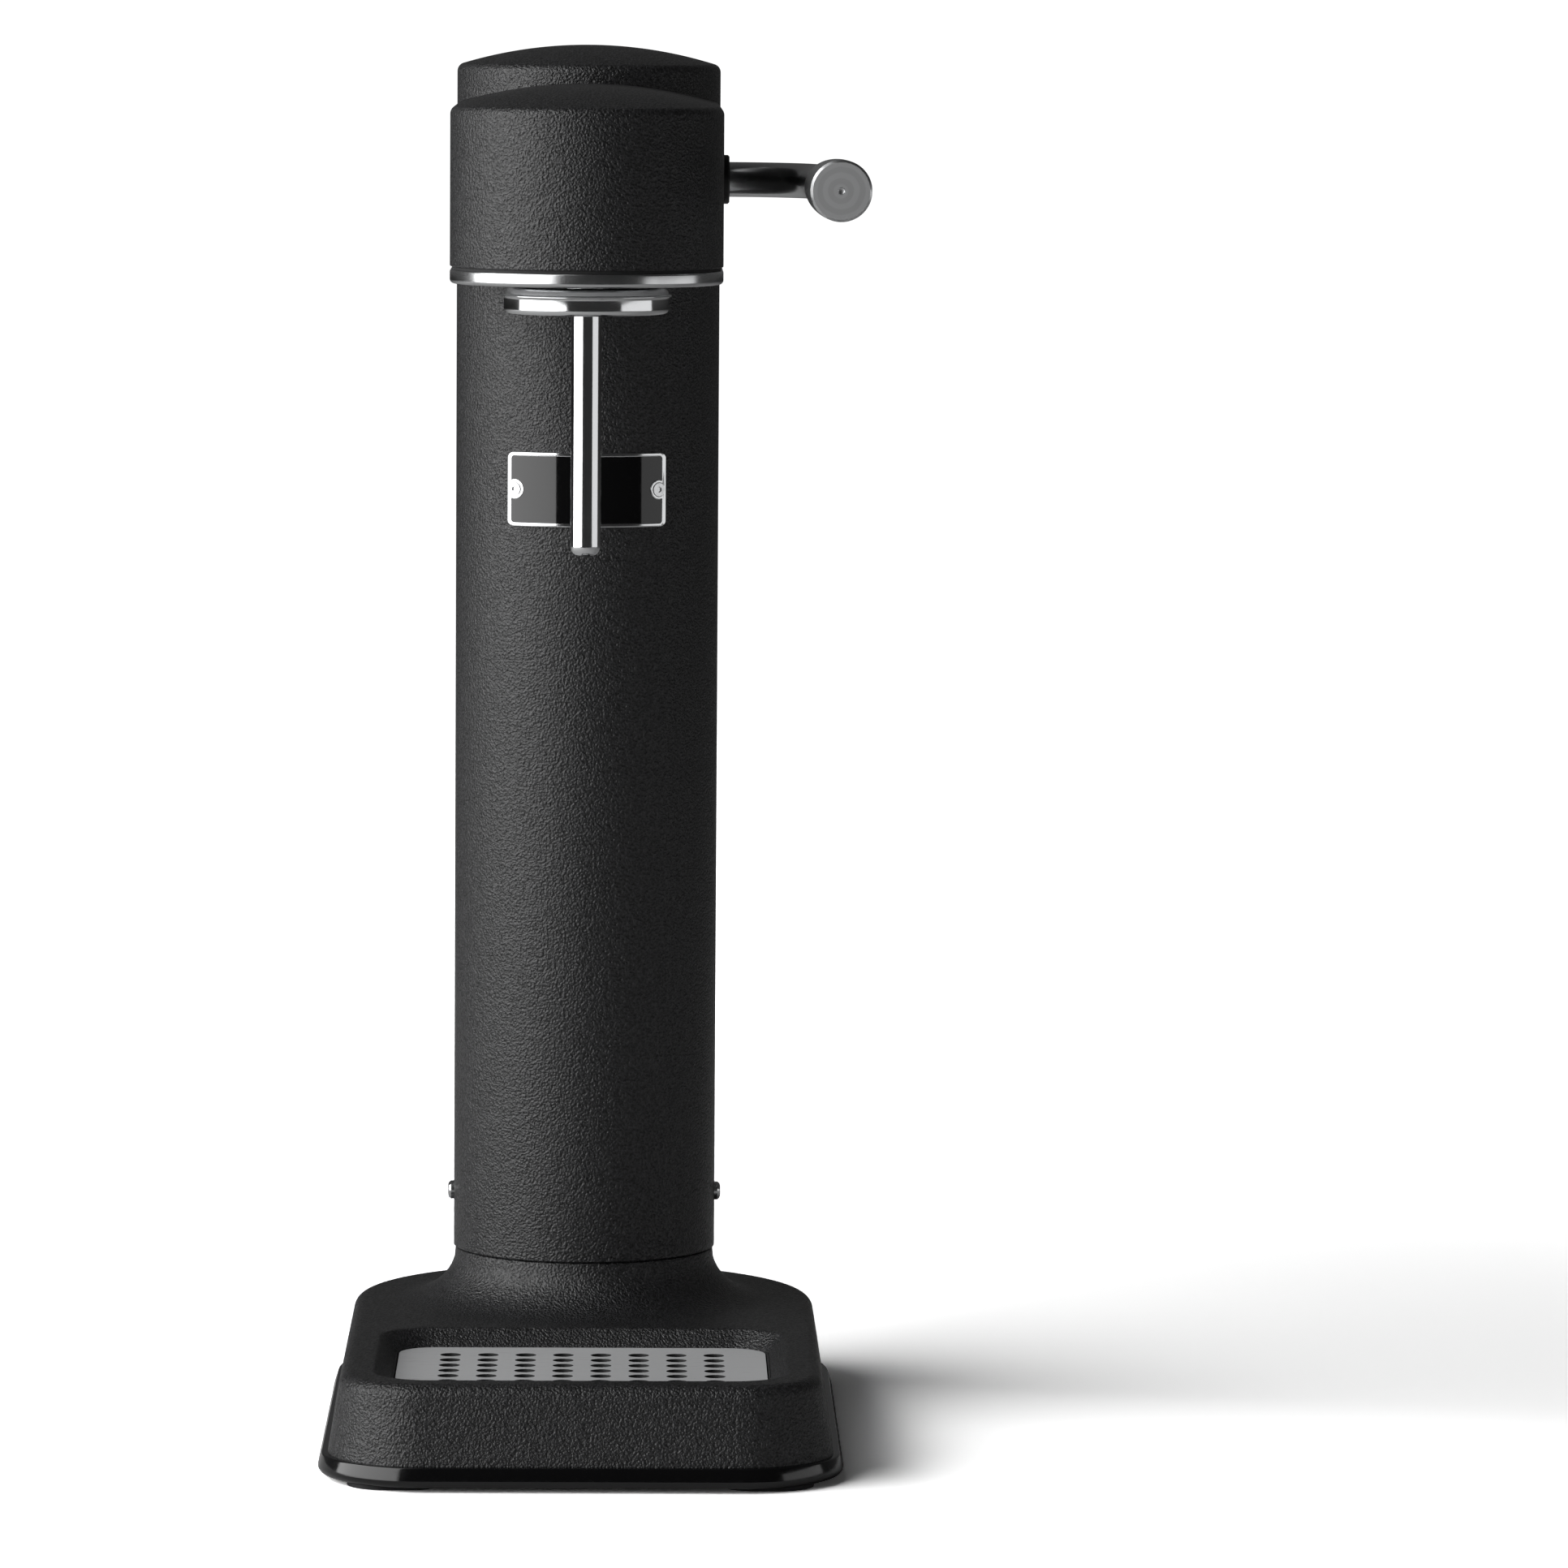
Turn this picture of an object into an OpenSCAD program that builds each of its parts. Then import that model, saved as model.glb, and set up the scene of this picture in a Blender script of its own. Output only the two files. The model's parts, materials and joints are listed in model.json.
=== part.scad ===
// Manual soda carbonator with a side lever, a round column and a drip grille.
// The column stands on the Z axis, the head reaches forward along -Y,
// and the rubber feet stand on the plane z = 0.

/* [Column] */
// Overall height, from the table to the top of the column dome
total_h = 414; // [345:1:500]
// Outside radius of the column and of the head
column_r = 40; // [39:0.5:50]
// Thickness of the casing sheet
wall = 1.5; // [1:0.1:2]
// Radius of the shallow domes on the column and the head
dome_r = 131; // [110:1:220]
// Edge radius where a dome meets its side wall
dome_edge_r = 2.6; // [1.6:0.1:4]

/* [Head] */
// Distance from the column axis to the nozzle axis
reach = 107.9; // [88:0.1:130]
// Height of the head cover, from its lower edge to the top of its dome
head_h = 52.5; // [50:0.1:64]
// Step from the head dome up to the column dome
head_step = 11.2; // [8:0.1:14]
// Thickness of the polished plate under the head
underplate_t = 4.2; // [3:0.1:6]
// Thickness of the black gasket above the polished plate
gasket_t = 0.8; // [0.5:0.1:2]

/* [Bottle holder] */
// Radius of the bottle holder at its lip
holder_r = 25; // [22:0.5:30]
// Height of the bottle holder
holder_h = 8; // [8:0.1:12]
// Radius of the nozzle tube
nozzle_r = 4.4; // [3.8:0.1:5]
// Length of the nozzle tube below the polished plate
nozzle_drop = 79.8; // [60:0.1:96]
// Radius of the bore in the nozzle tube
nozzle_bore_r = 2; // [1.5:0.1:2.2]

/* [Lever] */
// Radius of the bent lever rod
rod_r = 5.3; // [4.5:0.1:6.3]
// Depth of the lever axis below the top of the column dome
lever_drop = 40.6; // [38:0.1:44]
// Sideways distance from the column axis to the end of the bend in the rod
lever_out = 69.6; // [68:0.1:90]
// Angle by which the grip points outward
lever_splay = 2.2; // [0:0.1:4]
// Forward distance from the lever axis to the end of the grip
lever_len = 136; // [112:1:170]
// Radius of the bend in the lever rod
lever_bend_r = 28; // [22:1:28]
// Radius of the grip at its free end
grip_r = 9; // [8:0.1:11]
// Radius of the grip where it meets the rod
grip_root_r = 7.2; // [6.6:0.1:7.8]
// Length of the grip
grip_len = 61; // [50:1:75]
// Radius of the cam on the lever axis
cam_r = 8.5; // [8:0.1:9]
// Distance of the cam centre from the lever axis
cam_offset = 3.2; // [2.4:0.1:3.2]

/* [Base] */
// Overall width of the base
base_w = 153; // [150:1:184]
// Overall depth of the base
base_d = 258; // [240:1:310]
// Height of the flat top of the base
base_h = 30.5; // [28:0.1:37]
// Height of the joint between the base skirt and the column
skirt_h = 46.1; // [43:0.1:56]
// Radius of the front corners of the base shell
corner_r = 28; // [22:1:33]
// Inward lean of the base side walls from bottom to top
side_lean = 3.1; // [1:0.1:4]
// Thickness of the base plate
plate_t = 6.1; // [5:0.1:8]
// Height that the feet hold the base plate above the table
foot_h = 1.3; // [1:0.1:3]
// Depth that each foot is set into the base plate
foot_inset = 0.8; // [0.5:0.1:1.2]
// Wall thickness of the base shell
shell_t = 3; // [2:0.1:3.6]

/* [Drip tray] */
// Width of the tray recess at the top of the base
tray_w = 121; // [101:1:124]
// Depth of the tray recess at the top of the base, front to back
tray_d = 99; // [84:1:110]
// Thickness of the rim in front of the tray recess
tray_rim = 10.5; // [10:0.1:16]
// Corner radius of the tray recess
tray_corner_r = 17; // [13:1:20]
// Inward slope of the recess walls
tray_slope = 5.5; // [3:0.5:6]
// Depth of the grille surface below the flat top of the base
grille_drop = 5.1; // [4:0.1:6]
// Thickness of the grille plate
grille_t = 1; // [0.8:0.1:2]
// Radius of the grille holes
hole_r = 3; // [2:0.1:3.6]
// Distance between hole columns
hole_dx = 11.2; // [8:0.1:11.6]
// Distance between hole rows
hole_dy = 9.8; // [7.5:0.1:10.4]
// Number of hole columns
hole_cols = 8; // [2:1:8]
// Number of hole rows
hole_rows = 7; // [2:1:7]

/* [Gas cylinder] */
// Radius of the gas cylinder
bottle_r = 30; // [26:0.5:31]
// Wall thickness of the gas cylinder
bottle_wall = 4; // [3:0.1:6]
// Radius of the cylinder neck
neck_r = 13; // [12.5:0.1:13.6]
// Radius of the threaded end of the cylinder valve
valve_r = 10.4; // [9.5:0.1:10.6]
// Height of the cylinder's lower face above the table
bottle_z = 4; // [3:0.5:6]

/* [Name plate] */
// Width of the name plate along the chord
badge_w = 47.5; // [40:0.5:50]
// Height of the name plate
badge_h = 22.2; // [18:0.1:28]
// Thickness of the name plate
badge_t = 0.9; // [0.6:0.1:1.6]
// Distance from the top of the column dome to the middle of the name plate
badge_drop = 133.2; // [120:0.1:160]
// Width of the bright border of the name plate
badge_border = 1.0; // [0.8:0.1:2]

/* [Fits] */
// Radial clearance of running fits
fit = 0.05; // [0.03:0.01:0.09]
// Clearance between parts that move past each other
gap = 0.3; // [0.2:0.05:0.5]
// Clearance between fixed parts
seat = 0.1; // [0.05:0.05:0.2]

/* [Hidden] */
$fn = 96;

// heights of the base
z_plate0 = foot_h;
z_plate1 = foot_h + plate_t;
z_shell0 = z_plate1;
z_grille = base_h - grille_drop;
pan_flange_t = 1.4;
z_ledge = z_grille - grille_t - pan_flange_t;
pan_t = 1.4;
pan_bottom = z_plate1 + 4.5;

// plan of the base: a half circle about the column, straight sides, rounded front corners
plate_r = base_w / 2;
shell_r0 = plate_r - 2.9;
shell_r1 = shell_r0 - side_lean;
front_y = -(base_d - plate_r);
shell_y0 = front_y + 2.9;
shell_y1 = shell_y0 + side_lean;

// plan of the tray recess
tray_y0 = shell_y1 + tray_rim;
tray_y1 = tray_y0 + tray_d;
tray_cx = tray_w / 2 - tray_corner_r;
tray_cy0 = tray_y0 + tray_corner_r;
tray_cy1 = tray_y1 - tray_corner_r;
tray_mid = (tray_y0 + tray_y1) / 2;
grille_corner_r = tray_corner_r - tray_slope - gap;
ledge_w = 3;
pan_corner_r = tray_corner_r - tray_slope - ledge_w - gap;

// heights of the head and the column
z_head1 = total_h - head_step;
z_head0 = z_head1 - head_h;
z_under1 = z_head0 - gasket_t;
z_under0 = z_under1 - underplate_t;
z_lever = total_h - lever_drop;
z_nozzle_tip = z_under0 - nozzle_drop;
column_z0 = skirt_h + 0.3;

// stack of parts on the column axis, from the cam down to the cylinder
cam_low = z_lever - cam_r - cam_offset;
lobe_low = z_lever - cam_r;
plunger_gap = 0.2;
z_plunger1 = lobe_low - plunger_gap;
plunger_head_t = 1.5;
plunger_head_r = 7;
plunger_r = 3;
spring_space = 5.2;
z_block1 = z_plunger1 - plunger_head_t - spring_space;
block_flange_t = 5;
block_flange_r = 22;
block_boss_r = 13.5;
z_top_plate1 = z_block1 - block_flange_t;
top_plate_t = 3;
z_top_plate0 = z_top_plate1 - top_plate_t;
block_boss_l = 5;
z_nut1 = z_top_plate0 - block_boss_l;
nut_l = 19;
nut_r = 17;
counterbore = 4;
z_valve1 = z_nut1 + 0.2;
z_pin1 = z_valve1 + 2.3;
z_stem0 = z_pin1 + plunger_gap;
neck_l = 10;
shoulder_h = 26;
z_neck1 = z_nut1 - nut_l - gap;
z_shoulder1 = z_neck1 - neck_l;
z_shoulder0 = z_shoulder1 - shoulder_h;
press_max = 38;

// fixed liner and neck inside the column
column_ri = column_r - wall;
liner_ro = column_ri - seat;
liner_t = 3.5;
liner_ri = liner_ro - liner_t;
skirt_top_r = column_r - 0.7;
flare_w = min(18.5, -tray_y1 - skirt_top_r - 6);
spigot_h = 29.4;
z_spigot1 = skirt_h + spigot_h;
z_side_screw = skirt_h + 17;
guide_ri = bottle_r + gap;
port_r = bottle_r + 3;

// nozzle stack on the head axis
z_holder1 = z_under0 - 0.8;
z_holder0 = z_holder1 - holder_h;
holder_wall = 2.3;
holder_top_t = 2.2;
hub_r = 7;
strip_t = 2;
z_strip0 = z_top_plate1;
z_strip1 = z_strip0 + strip_t;
noz_boss_r = 12;
noz_flange_r = 16;
noz_flange_t = 6;
z_noz1 = z_strip1 + noz_flange_t;
z_tube1 = z_strip1 + 1;

// hose route: up from the valve block, forward, and down to the nozzle block
nipple_h = 9;
nipple_r = 1.85;
hose_r = 3;
hose_bore_r = 1.9;
hose_bend_r = 12;
outlet_y = -17.5;
z_hose = z_noz1 + nipple_h + hose_bend_r + 1;

// name plate
badge_z = total_h - badge_drop;
badge_screw_a = asin((badge_w / 2 - 2.5) / column_r);
badge_screw_r = 2;

// feet, bosses and screws, as plan positions
foot_w = 28;
foot_d = 22;
foot_corner_r = 10.9;
foot_pos = [
  [shell_r0 - foot_w / 2 - 6, shell_y0 + foot_d / 2 + 3],
  [-(shell_r0 - foot_w / 2 - 6), shell_y0 + foot_d / 2 + 3],
  [port_r + foot_w / 2 + 3, 12],
  [-(port_r + foot_w / 2 + 3), 12]
];
boss_x = shell_r1 - shell_t - 5.5;
boss_pos = [
  [boss_x, -34],
  [-boss_x, -34],
  [boss_x, tray_cy0 - 2],
  [-boss_x, tray_cy0 - 2]
];
boss_r = 5;
screw_r = 1.5;
screw_head_r = 3;

// A point of a dome profile: radius and height, with a rounded edge
function dome_pts(r, z, rd, re) = concat(
  [for (i = [0:8]) let (a = i * asin((r - re) / (rd - re)) / 8) [rd * sin(a), z - rd + rd * cos(a)]],
  [for (i = [1:4]) let (
    a0 = asin((r - re) / (rd - re)),
    a = a0 + i * (90 - a0) / 4,
    zc = z - rd + (rd - re) * cos(a0)
  ) [r - re + re * sin(a), zc + re * cos(a)]]
);

// Profile of a domed drum from z0 up to the dome
function drum_pts(r, z0, z1, rd, re) = concat([[0, z0]], [[0, z1]],
  [for (i = [1:12]) dome_pts(r, z1, rd, re)[i]], [[r, z0]]);

// Mirror a half profile about its axis, for a straight run of the same section
function both_sides(pts) = concat(
  [for (p = pts) if (p[0] > 0) p],
  [for (i = [len(pts) - 1:-1:0]) if (pts[i][0] > 0) [-pts[i][0], pts[i][1]]]
);

// Extrude a section drawn in X and Z along Y, from y0 to y1
module along_y(y0, y1) {
  translate([0, y1, 0])
    rotate([90, 0, 0])
      linear_extrude(y1 - y0)
        children();
}

// Extrude a section drawn in Y and Z along X, from x0 to x1
module along_x(x0, x1) {
  translate([x0, 0, 0])
    rotate([90, 0, 90])
      linear_extrude(x1 - x0)
        children();
}

// Part of a turned shape between two angles
module sector(pts, a0, a1) {
  rotate([0, 0, a0])
    rotate_extrude(angle = a1 - a0)
      polygon(pts);
}

// Close an edge profile against the axis, inner edge of the radii at c
function to_axis(edge) = concat([[0, edge[0][1]]], edge, [[0, edge[len(edge) - 1][1]]]);

// Solid with a half-round back about the axis and two rounded front corners.
// The edge lists offset from the straight side at radius r, and height.
module d_shape(edge, r, yf, rc) {
  cx = r - rc;
  yc = yf + rc;
  e_back = [for (e = edge) [r + e[0], e[1]]];
  e_corner = [for (e = edge) [rc + e[0], e[1]]];
  sector(to_axis(e_back), 0, 180);
  along_y(yc, 0)
    polygon(concat(e_back, [for (i = [len(edge) - 1:-1:0]) [-e_back[i][0], e_back[i][1]]]));
  along_x(-cx, cx)
    polygon(concat([[yc, edge[0][1]]], [for (e = e_corner) [yc - e[0], e[1]]], [[yc, edge[len(edge) - 1][1]]]));
  translate([cx, yc, 0])
    sector(to_axis(e_corner), -90, 0);
  translate([-cx, yc, 0])
    sector(to_axis(e_corner), 180, 270);
}

// Rounded rectangle in plan with sloping walls: corner radius ra at za, rb at zb
module sloped_tray(cx, y0, y1, ra, za, rb, zb) {
  pts = [[0, za], [ra, za], [rb, zb], [0, zb]];
  for (s = [[1, y0, -90], [1, y1, 0], [-1, y1, 90], [-1, y0, 180]])
    translate([s[0] * cx, s[1], 0])
      sector(pts, s[2], s[2] + 90);
  along_y(y0, y1)
    polygon([[-cx - ra, za], [cx + ra, za], [cx + rb, zb], [-cx - rb, zb]]);
  along_x(-cx, cx)
    polygon([[y0 - ra, za], [y0, za], [y0, zb], [y0 - rb, zb]]);
  along_x(-cx, cx)
    polygon([[y1, za], [y1 + ra, za], [y1 + rb, zb], [y1, zb]]);
}

// Straight-walled rounded rectangle with corner centres at +-cx, y0 and y1
module rounded_box(cx, y0, y1, r, z0, z1) {
  translate([0, 0, z0])
    linear_extrude(z1 - z0)
      rounded_plan(cx, y0, y1, r);
}

module rounded_plan(cx, y0, y1, r) {
  translate([-cx - r, y0])
    square([2 * (cx + r), y1 - y0]);
  translate([-cx, y0 - r])
    square([2 * cx, y1 - y0 + 2 * r]);
  for (x = [-cx, cx], y = [y0, y1])
    translate([x, y])
      circle(r);
}

// Turned part along Z
module post(r, z0, z1) {
  translate([0, 0, z0])
    cylinder(h = z1 - z0, r = r);
}

// Ring along Z
module ring(ro, ri, z0, z1) {
  translate([0, 0, z0])
    difference() {
      cylinder(h = z1 - z0, r = ro);
      translate([0, 0, -1])
        cylinder(h = z1 - z0 + 2, r = ri);
    }
}

// Screw with a round head and hexagonal socket, head top at z = 0, shank down to -l
module socket_screw(head_r, head_t, shank_r, l, key_r) {
  difference() {
    union() {
      post(head_r, -head_t, 0);
      post(shank_r, -l, -head_t);
    }
    translate([0, 0, -head_t * 0.6])
      cylinder(h = head_t, r = key_r, $fn = 6);
  }
}

// Closed coil of round wire along Z, as one swept tube
module coil(r, wire, z0, z1, turns, steps = 14) {
  n = turns * steps;
  sides = 6;
  pts = [for (i = [0:n], k = [0:sides - 1]) let (
    a = 360 * i / steps,
    b = 360 * k / sides,
    z = z0 + wire + (z1 - z0 - 2 * wire) * i / n
  ) [(r + wire * cos(b)) * cos(a), (r + wire * cos(b)) * sin(a), z + wire * sin(b)]];
  quads = [for (i = [0:n - 1], k = [0:sides - 1]) [
    i * sides + k, (i + 1) * sides + k,
    (i + 1) * sides + (k + 1) % sides, i * sides + (k + 1) % sides
  ]];
  ends = [[for (k = [0:sides - 1]) k], [for (k = [sides - 1:-1:0]) n * sides + k]];
  polyhedron(points = pts, faces = concat(quads, ends), convexity = 6);
}

// ---- casing ----

module column_tube() {
  color("#26262A")
    difference() {
      rotate_extrude()
        polygon(drum_pts(column_r, column_z0, total_h, dome_r, dome_edge_r));
      rotate_extrude()
        polygon(drum_pts(column_ri, column_z0 - 1, total_h - wall, dome_r - wall, dome_edge_r - wall));
      // window into the head
      translate([-20, -column_r - 5, z_strip0 - 0.3])
        cube([40, 20, z_hose + hose_r + 2 - z_strip0]);
      // hole and flat seat for the lever collar
      translate([0, 0, z_lever])
        rotate([0, 90, 0]) {
          cylinder(h = column_r + 5, r = collar_body_r + seat);
          translate([0, 0, column_r - 0.15])
            cylinder(h = 5, r = collar_r + seat);
        }
      // holes and flat seats for the side screws
      for (s = [-1, 1])
        translate([0, 0, z_side_screw])
          rotate([0, s * 90, 0]) {
            cylinder(h = column_r + 5, r = screw_r + seat);
            translate([0, 0, column_r - 0.15])
              cylinder(h = 5, r = side_head_r + seat);
          }
      // holes for the name plate screws
      for (s = [-1, 1])
        rotate([0, 0, -90 + s * badge_screw_a])
          translate([0, 0, badge_z])
            rotate([0, 90, 0])
              cylinder(h = column_r + 5, r = badge_shank_r + seat);
    }
}

module head_block(r, z0, z1, rd, re, y_back) {
  pts = drum_pts(r, z0, z1, rd, re);
  translate([0, -reach, 0])
    sector(pts, 180, 360);
  along_y(-reach, y_back)
    polygon(both_sides(pts));
}

head_back_y = -8;

module head_cover() {
  color("#26262A")
    difference() {
      head_block(column_r, z_head0, z_head1, dome_r, dome_edge_r, head_back_y);
      head_block(column_r - wall, z_head0 - 1, z_head1 - wall, dome_r - wall, dome_edge_r - wall, head_back_y + 1);
      post(column_r, z_head0 - 2, z_head1 + 2);
    }
}

// Plan of the plates under the head: the head's own outline, back to the column
module head_plan(r) {
  difference() {
    union() {
      translate([0, -reach])
        circle(r);
      translate([-r, -reach])
        square([2 * r, reach + head_back_y]);
    }
    circle(column_r + seat);
  }
}

module head_gasket() {
  color("#0C0C0D")
    translate([0, 0, z_under1])
      linear_extrude(gasket_t)
        difference() {
          head_plan(column_r - 0.7);
          translate([0, -reach])
            circle(noz_boss_r + seat);
          for (s = [-1, 1])
            translate([s * under_screw_x, under_screw_y])
              circle(screw_r + seat);
        }
}

under_edge_r = 2.2;
under_screw_x = 13;
under_screw_y = -66;

module head_underplate() {
  edge = concat(
    [for (i = [0:4]) let (a = i * 22.5) [column_r - under_edge_r + under_edge_r * sin(a),
      z_under0 + under_edge_r - under_edge_r * cos(a)]],
    [for (i = [1:3]) let (a = i * 30) [column_r - 1.2 + 1.2 * cos(a), z_under1 - 1.2 + 1.2 * sin(a)]]
  );
  color("#D9DADC")
    difference() {
      union() {
        translate([0, -reach, 0])
          sector(to_axis(edge), 180, 360);
        along_y(-reach, head_back_y)
          polygon(concat(edge, [for (i = [len(edge) - 1:-1:0]) [-edge[i][0], edge[i][1]]]));
      }
      post(column_r + seat, z_under0 - 1, z_under1 + 1);
      translate([0, -reach, 0])
        post(hub_r + seat, z_under0 - 1, z_under1 + 1);
      for (s = [-1, 1])
        translate([s * under_screw_x, under_screw_y, z_under0]) {
          post(screw_r + seat, -1, underplate_t + 1);
          post(screw_head_r + seat, -1, 1.6);
        }
    }
}

module underplate_screws() {
  color("#B8BABD")
    for (s = [-1, 1])
      translate([s * under_screw_x, under_screw_y, z_under0])
        mirror([0, 0, 1])
          socket_screw(screw_head_r, 1.6, screw_r, z_strip1 - z_under0, 1.3);
}

// ---- bottle holder and nozzle ----

module bottle_holder() {
  rw = holder_r - 0.8;
  zt = z_holder1;
  zb = z_holder0;
  lip = zt - 2.6;
  color("#D9DADC")
    translate([0, -reach, 0])
      difference() {
        rotate_extrude()
          polygon(concat(
            [[nozzle_r + seat, zt], [rw - 2.6, zt]],
            [for (i = [1:4]) let (a = i * 20) [rw - 2.6 + 2.6 * sin(a), zt - 2.6 + 2.6 * cos(a)]],
            [[holder_r, lip + 0.35], [holder_r, lip - 0.35], [rw, lip - 0.6]],
            [for (i = [0:5]) let (a = i * 18) [rw - 2 + 2 * cos(a), zb + 2 - 2 * sin(a)]],
            [[rw - holder_wall, zb], [rw - holder_wall, zt - holder_top_t], [nozzle_r + seat, zt - holder_top_t]]
          ));
      }
  // bayonet lugs inside the mouth
  color("#D9DADC")
    translate([0, -reach, 0])
      for (a = [30, 150, 270])
        rotate([0, 0, a - 12])
          rotate_extrude(angle = 24)
            translate([rw - holder_wall - 1.6, zb + 0.6])
              square([1.9, 1.6]);
}

module bottle_seal() {
  color("#2B2B2D")
    translate([0, -reach, 0])
      ring(holder_r - 0.8 - holder_wall - 2, nozzle_r + seat, z_holder1 - holder_top_t - 1.5, z_holder1 - holder_top_t);
}

module holder_hub() {
  color("#C9CACC")
    translate([0, -reach, 0])
      ring(hub_r, nozzle_r + seat, z_holder1, z_strip0);
}

module nozzle_tube() {
  zt = z_nozzle_tip;
  color("#D9DADC")
    translate([0, -reach, 0])
      difference() {
        rotate_extrude()
          polygon(concat(
            [[0, zt], [nozzle_r - 2.4, zt]],
            [for (i = [1:5]) let (a = i * 18) [nozzle_r - 2.4 + 2.4 * sin(a), zt + 3 - 3 * cos(a)]],
            [[nozzle_r, z_tube1], [0, z_tube1]]
          ));
        post(nozzle_bore_r, zt + 5, z_tube1 + 1);
        jet_path()
          cylinder(h = 12, r = jet_r + seat / 2);
      }
}

jet_r = 0.9;

// The jet leaves the tip obliquely, forward and down to the right
module jet_path() {
  translate([0, 0, z_nozzle_tip + 5.5])
    rotate([0, 0, -50])
      rotate([0, 140, 0])
        children();
}

module nozzle_jet() {
  color("#8F9194")
    translate([0, -reach, 0])
      jet_path()
        translate([0, 0, 2.6])
          difference() {
            cylinder(h = 2.8, r = jet_r);
            translate([0, 0, -1])
              cylinder(h = 5, r = 0.35);
          }
}

module nozzle_block() {
  color("#B9955A")
    translate([0, -reach, 0])
      difference() {
        union() {
          post(noz_boss_r, z_under1, z_strip1);
          post(noz_flange_r, z_strip1, z_noz1);
        }
        post(hub_r + seat, z_under1 - 1, z_strip0);
        post(nozzle_r + seat, z_strip0 - 1, z_tube1 + seat);
        post(nozzle_bore_r, z_tube1, z_noz1 + 1);
        // relief passage
        translate([relief_x, 0, 0])
          post(relief_seat_r, z_noz1 - 3, z_noz1 + 1);
        translate([0, 0, z_noz1 - 2])
          rotate([0, 90, 0])
            cylinder(h = relief_x, r = 1);
      }
}

module head_strip() {
  color("#A9ABAE")
    difference() {
      translate([-block_flange_r + 6, -reach - 16, z_strip0])
        cube([2 * (block_flange_r - 6), reach + 16 - 23, strip_t]);
      translate([0, -reach, 0])
        post(noz_boss_r + seat, z_strip0 - 1, z_strip1 + 1);
      for (s = [-1, 1]) {
        translate([s * under_screw_x, under_screw_y, 0])
          post(screw_r + seat / 2, z_strip0 - 1, z_strip1 + 1);
        translate([s * strip_screw_x, strip_screw_y, 0])
          post(screw_r + seat / 2, z_strip0 - 1, z_strip1 + 1);
      }
    }
}

strip_screw_x = 8;
strip_screw_y = -29;

module strip_screws() {
  color("#B8BABD")
    for (s = [-1, 1])
      translate([s * strip_screw_x, strip_screw_y, z_strip1 + 1.6])
        socket_screw(2.6, 1.6, screw_r, 1.6 + strip_t + top_plate_t, 1.2);
}

// ---- relief valve on the nozzle block ----

relief_x = 10.5;
relief_seat_r = 1.2;
relief_ro = 4.5;
relief_ri = 3;
relief_h = 11;
relief_lift = 1.2;

module relief_body() {
  color("#B9955A")
    translate([relief_x, -reach, 0])
      ring(relief_ro, relief_ri, z_noz1, z_noz1 + relief_h);
}

module relief_poppet() {
  color("#2B2B2D")
    translate([relief_x, -reach, 0])
      post(relief_ri - fit, z_noz1, z_noz1 + 3);
}

module relief_spring() {
  color("#B8BABD")
    translate([relief_x, -reach, 0])
      coil(2, 0.35, z_noz1 + 3.05, z_noz1 + relief_h - 0.05, 4);
}

module relief_cap() {
  color("#B9955A")
    translate([relief_x, -reach, 0])
      ring(relief_ro, 0.9, z_noz1 + relief_h, z_noz1 + relief_h + 1.5);
}

// ---- gas hose ----

// Route of the hose at radius r: up, quarter bend, forward, quarter bend, down
module hose_path(r, extra) {
  z_up = z_hose - hose_bend_r;
  translate([0, outlet_y, 0])
    post(r, z_block1 + 2.6 - extra, z_up);
  translate([0, outlet_y - hose_bend_r, z_up])
    rotate([0, -90, 0])
      rotate([0, 0, 0])
        rotate_extrude(angle = 90)
          translate([hose_bend_r, 0])
            circle(r, $fn = 48);
  translate([0, outlet_y - hose_bend_r, z_hose])
    rotate([90, 0, 0])
      cylinder(h = reach + outlet_y - 2 * hose_bend_r, r = r);
  translate([0, -reach + hose_bend_r, z_up])
    rotate([0, -90, 0])
      rotate([0, 0, -90])
        rotate_extrude(angle = 90)
          translate([hose_bend_r, 0])
            circle(r, $fn = 48);
  translate([0, -reach, 0])
    post(r, z_noz1 + 2.6 - extra, z_up);
}

module gas_hose() {
  color("#1B1B1C")
    difference() {
      hose_path(hose_r, 0);
      hose_path(hose_bore_r, 1);
    }
}

module nipple_at(x, y, z) {
  translate([x, y, z])
    difference() {
      union() {
        cylinder(h = 2.5, r = 4.4, $fn = 6);
        cylinder(h = nipple_h, r = nipple_r);
      }
      translate([0, 0, -1])
        cylinder(h = nipple_h + 2, r = 1);
    }
}

module hose_nipples() {
  color("#B9955A") {
    nipple_at(0, outlet_y, z_block1);
    nipple_at(0, -reach, z_noz1);
  }
}

module hose_clips() {
  color("#B8BABD") {
    translate([0, outlet_y, 0])
      ring(hose_r + 0.8, hose_r + 0.02, z_block1 + 4.5, z_block1 + 8);
    translate([0, -reach, 0])
      ring(hose_r + 0.8, hose_r + 0.02, z_noz1 + 4.5, z_noz1 + 8);
  }
}

// ---- inside of the column ----

module liner_tube() {
  color("#1B1B1C")
    difference() {
      ring(liner_ro, liner_ri, z_spigot1 + seat, z_top_plate0);
      at_badge_screws()
        translate([0, 0, -5])
          cylinder(h = 8, r = badge_shank_r + seat);
    }
}

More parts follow.
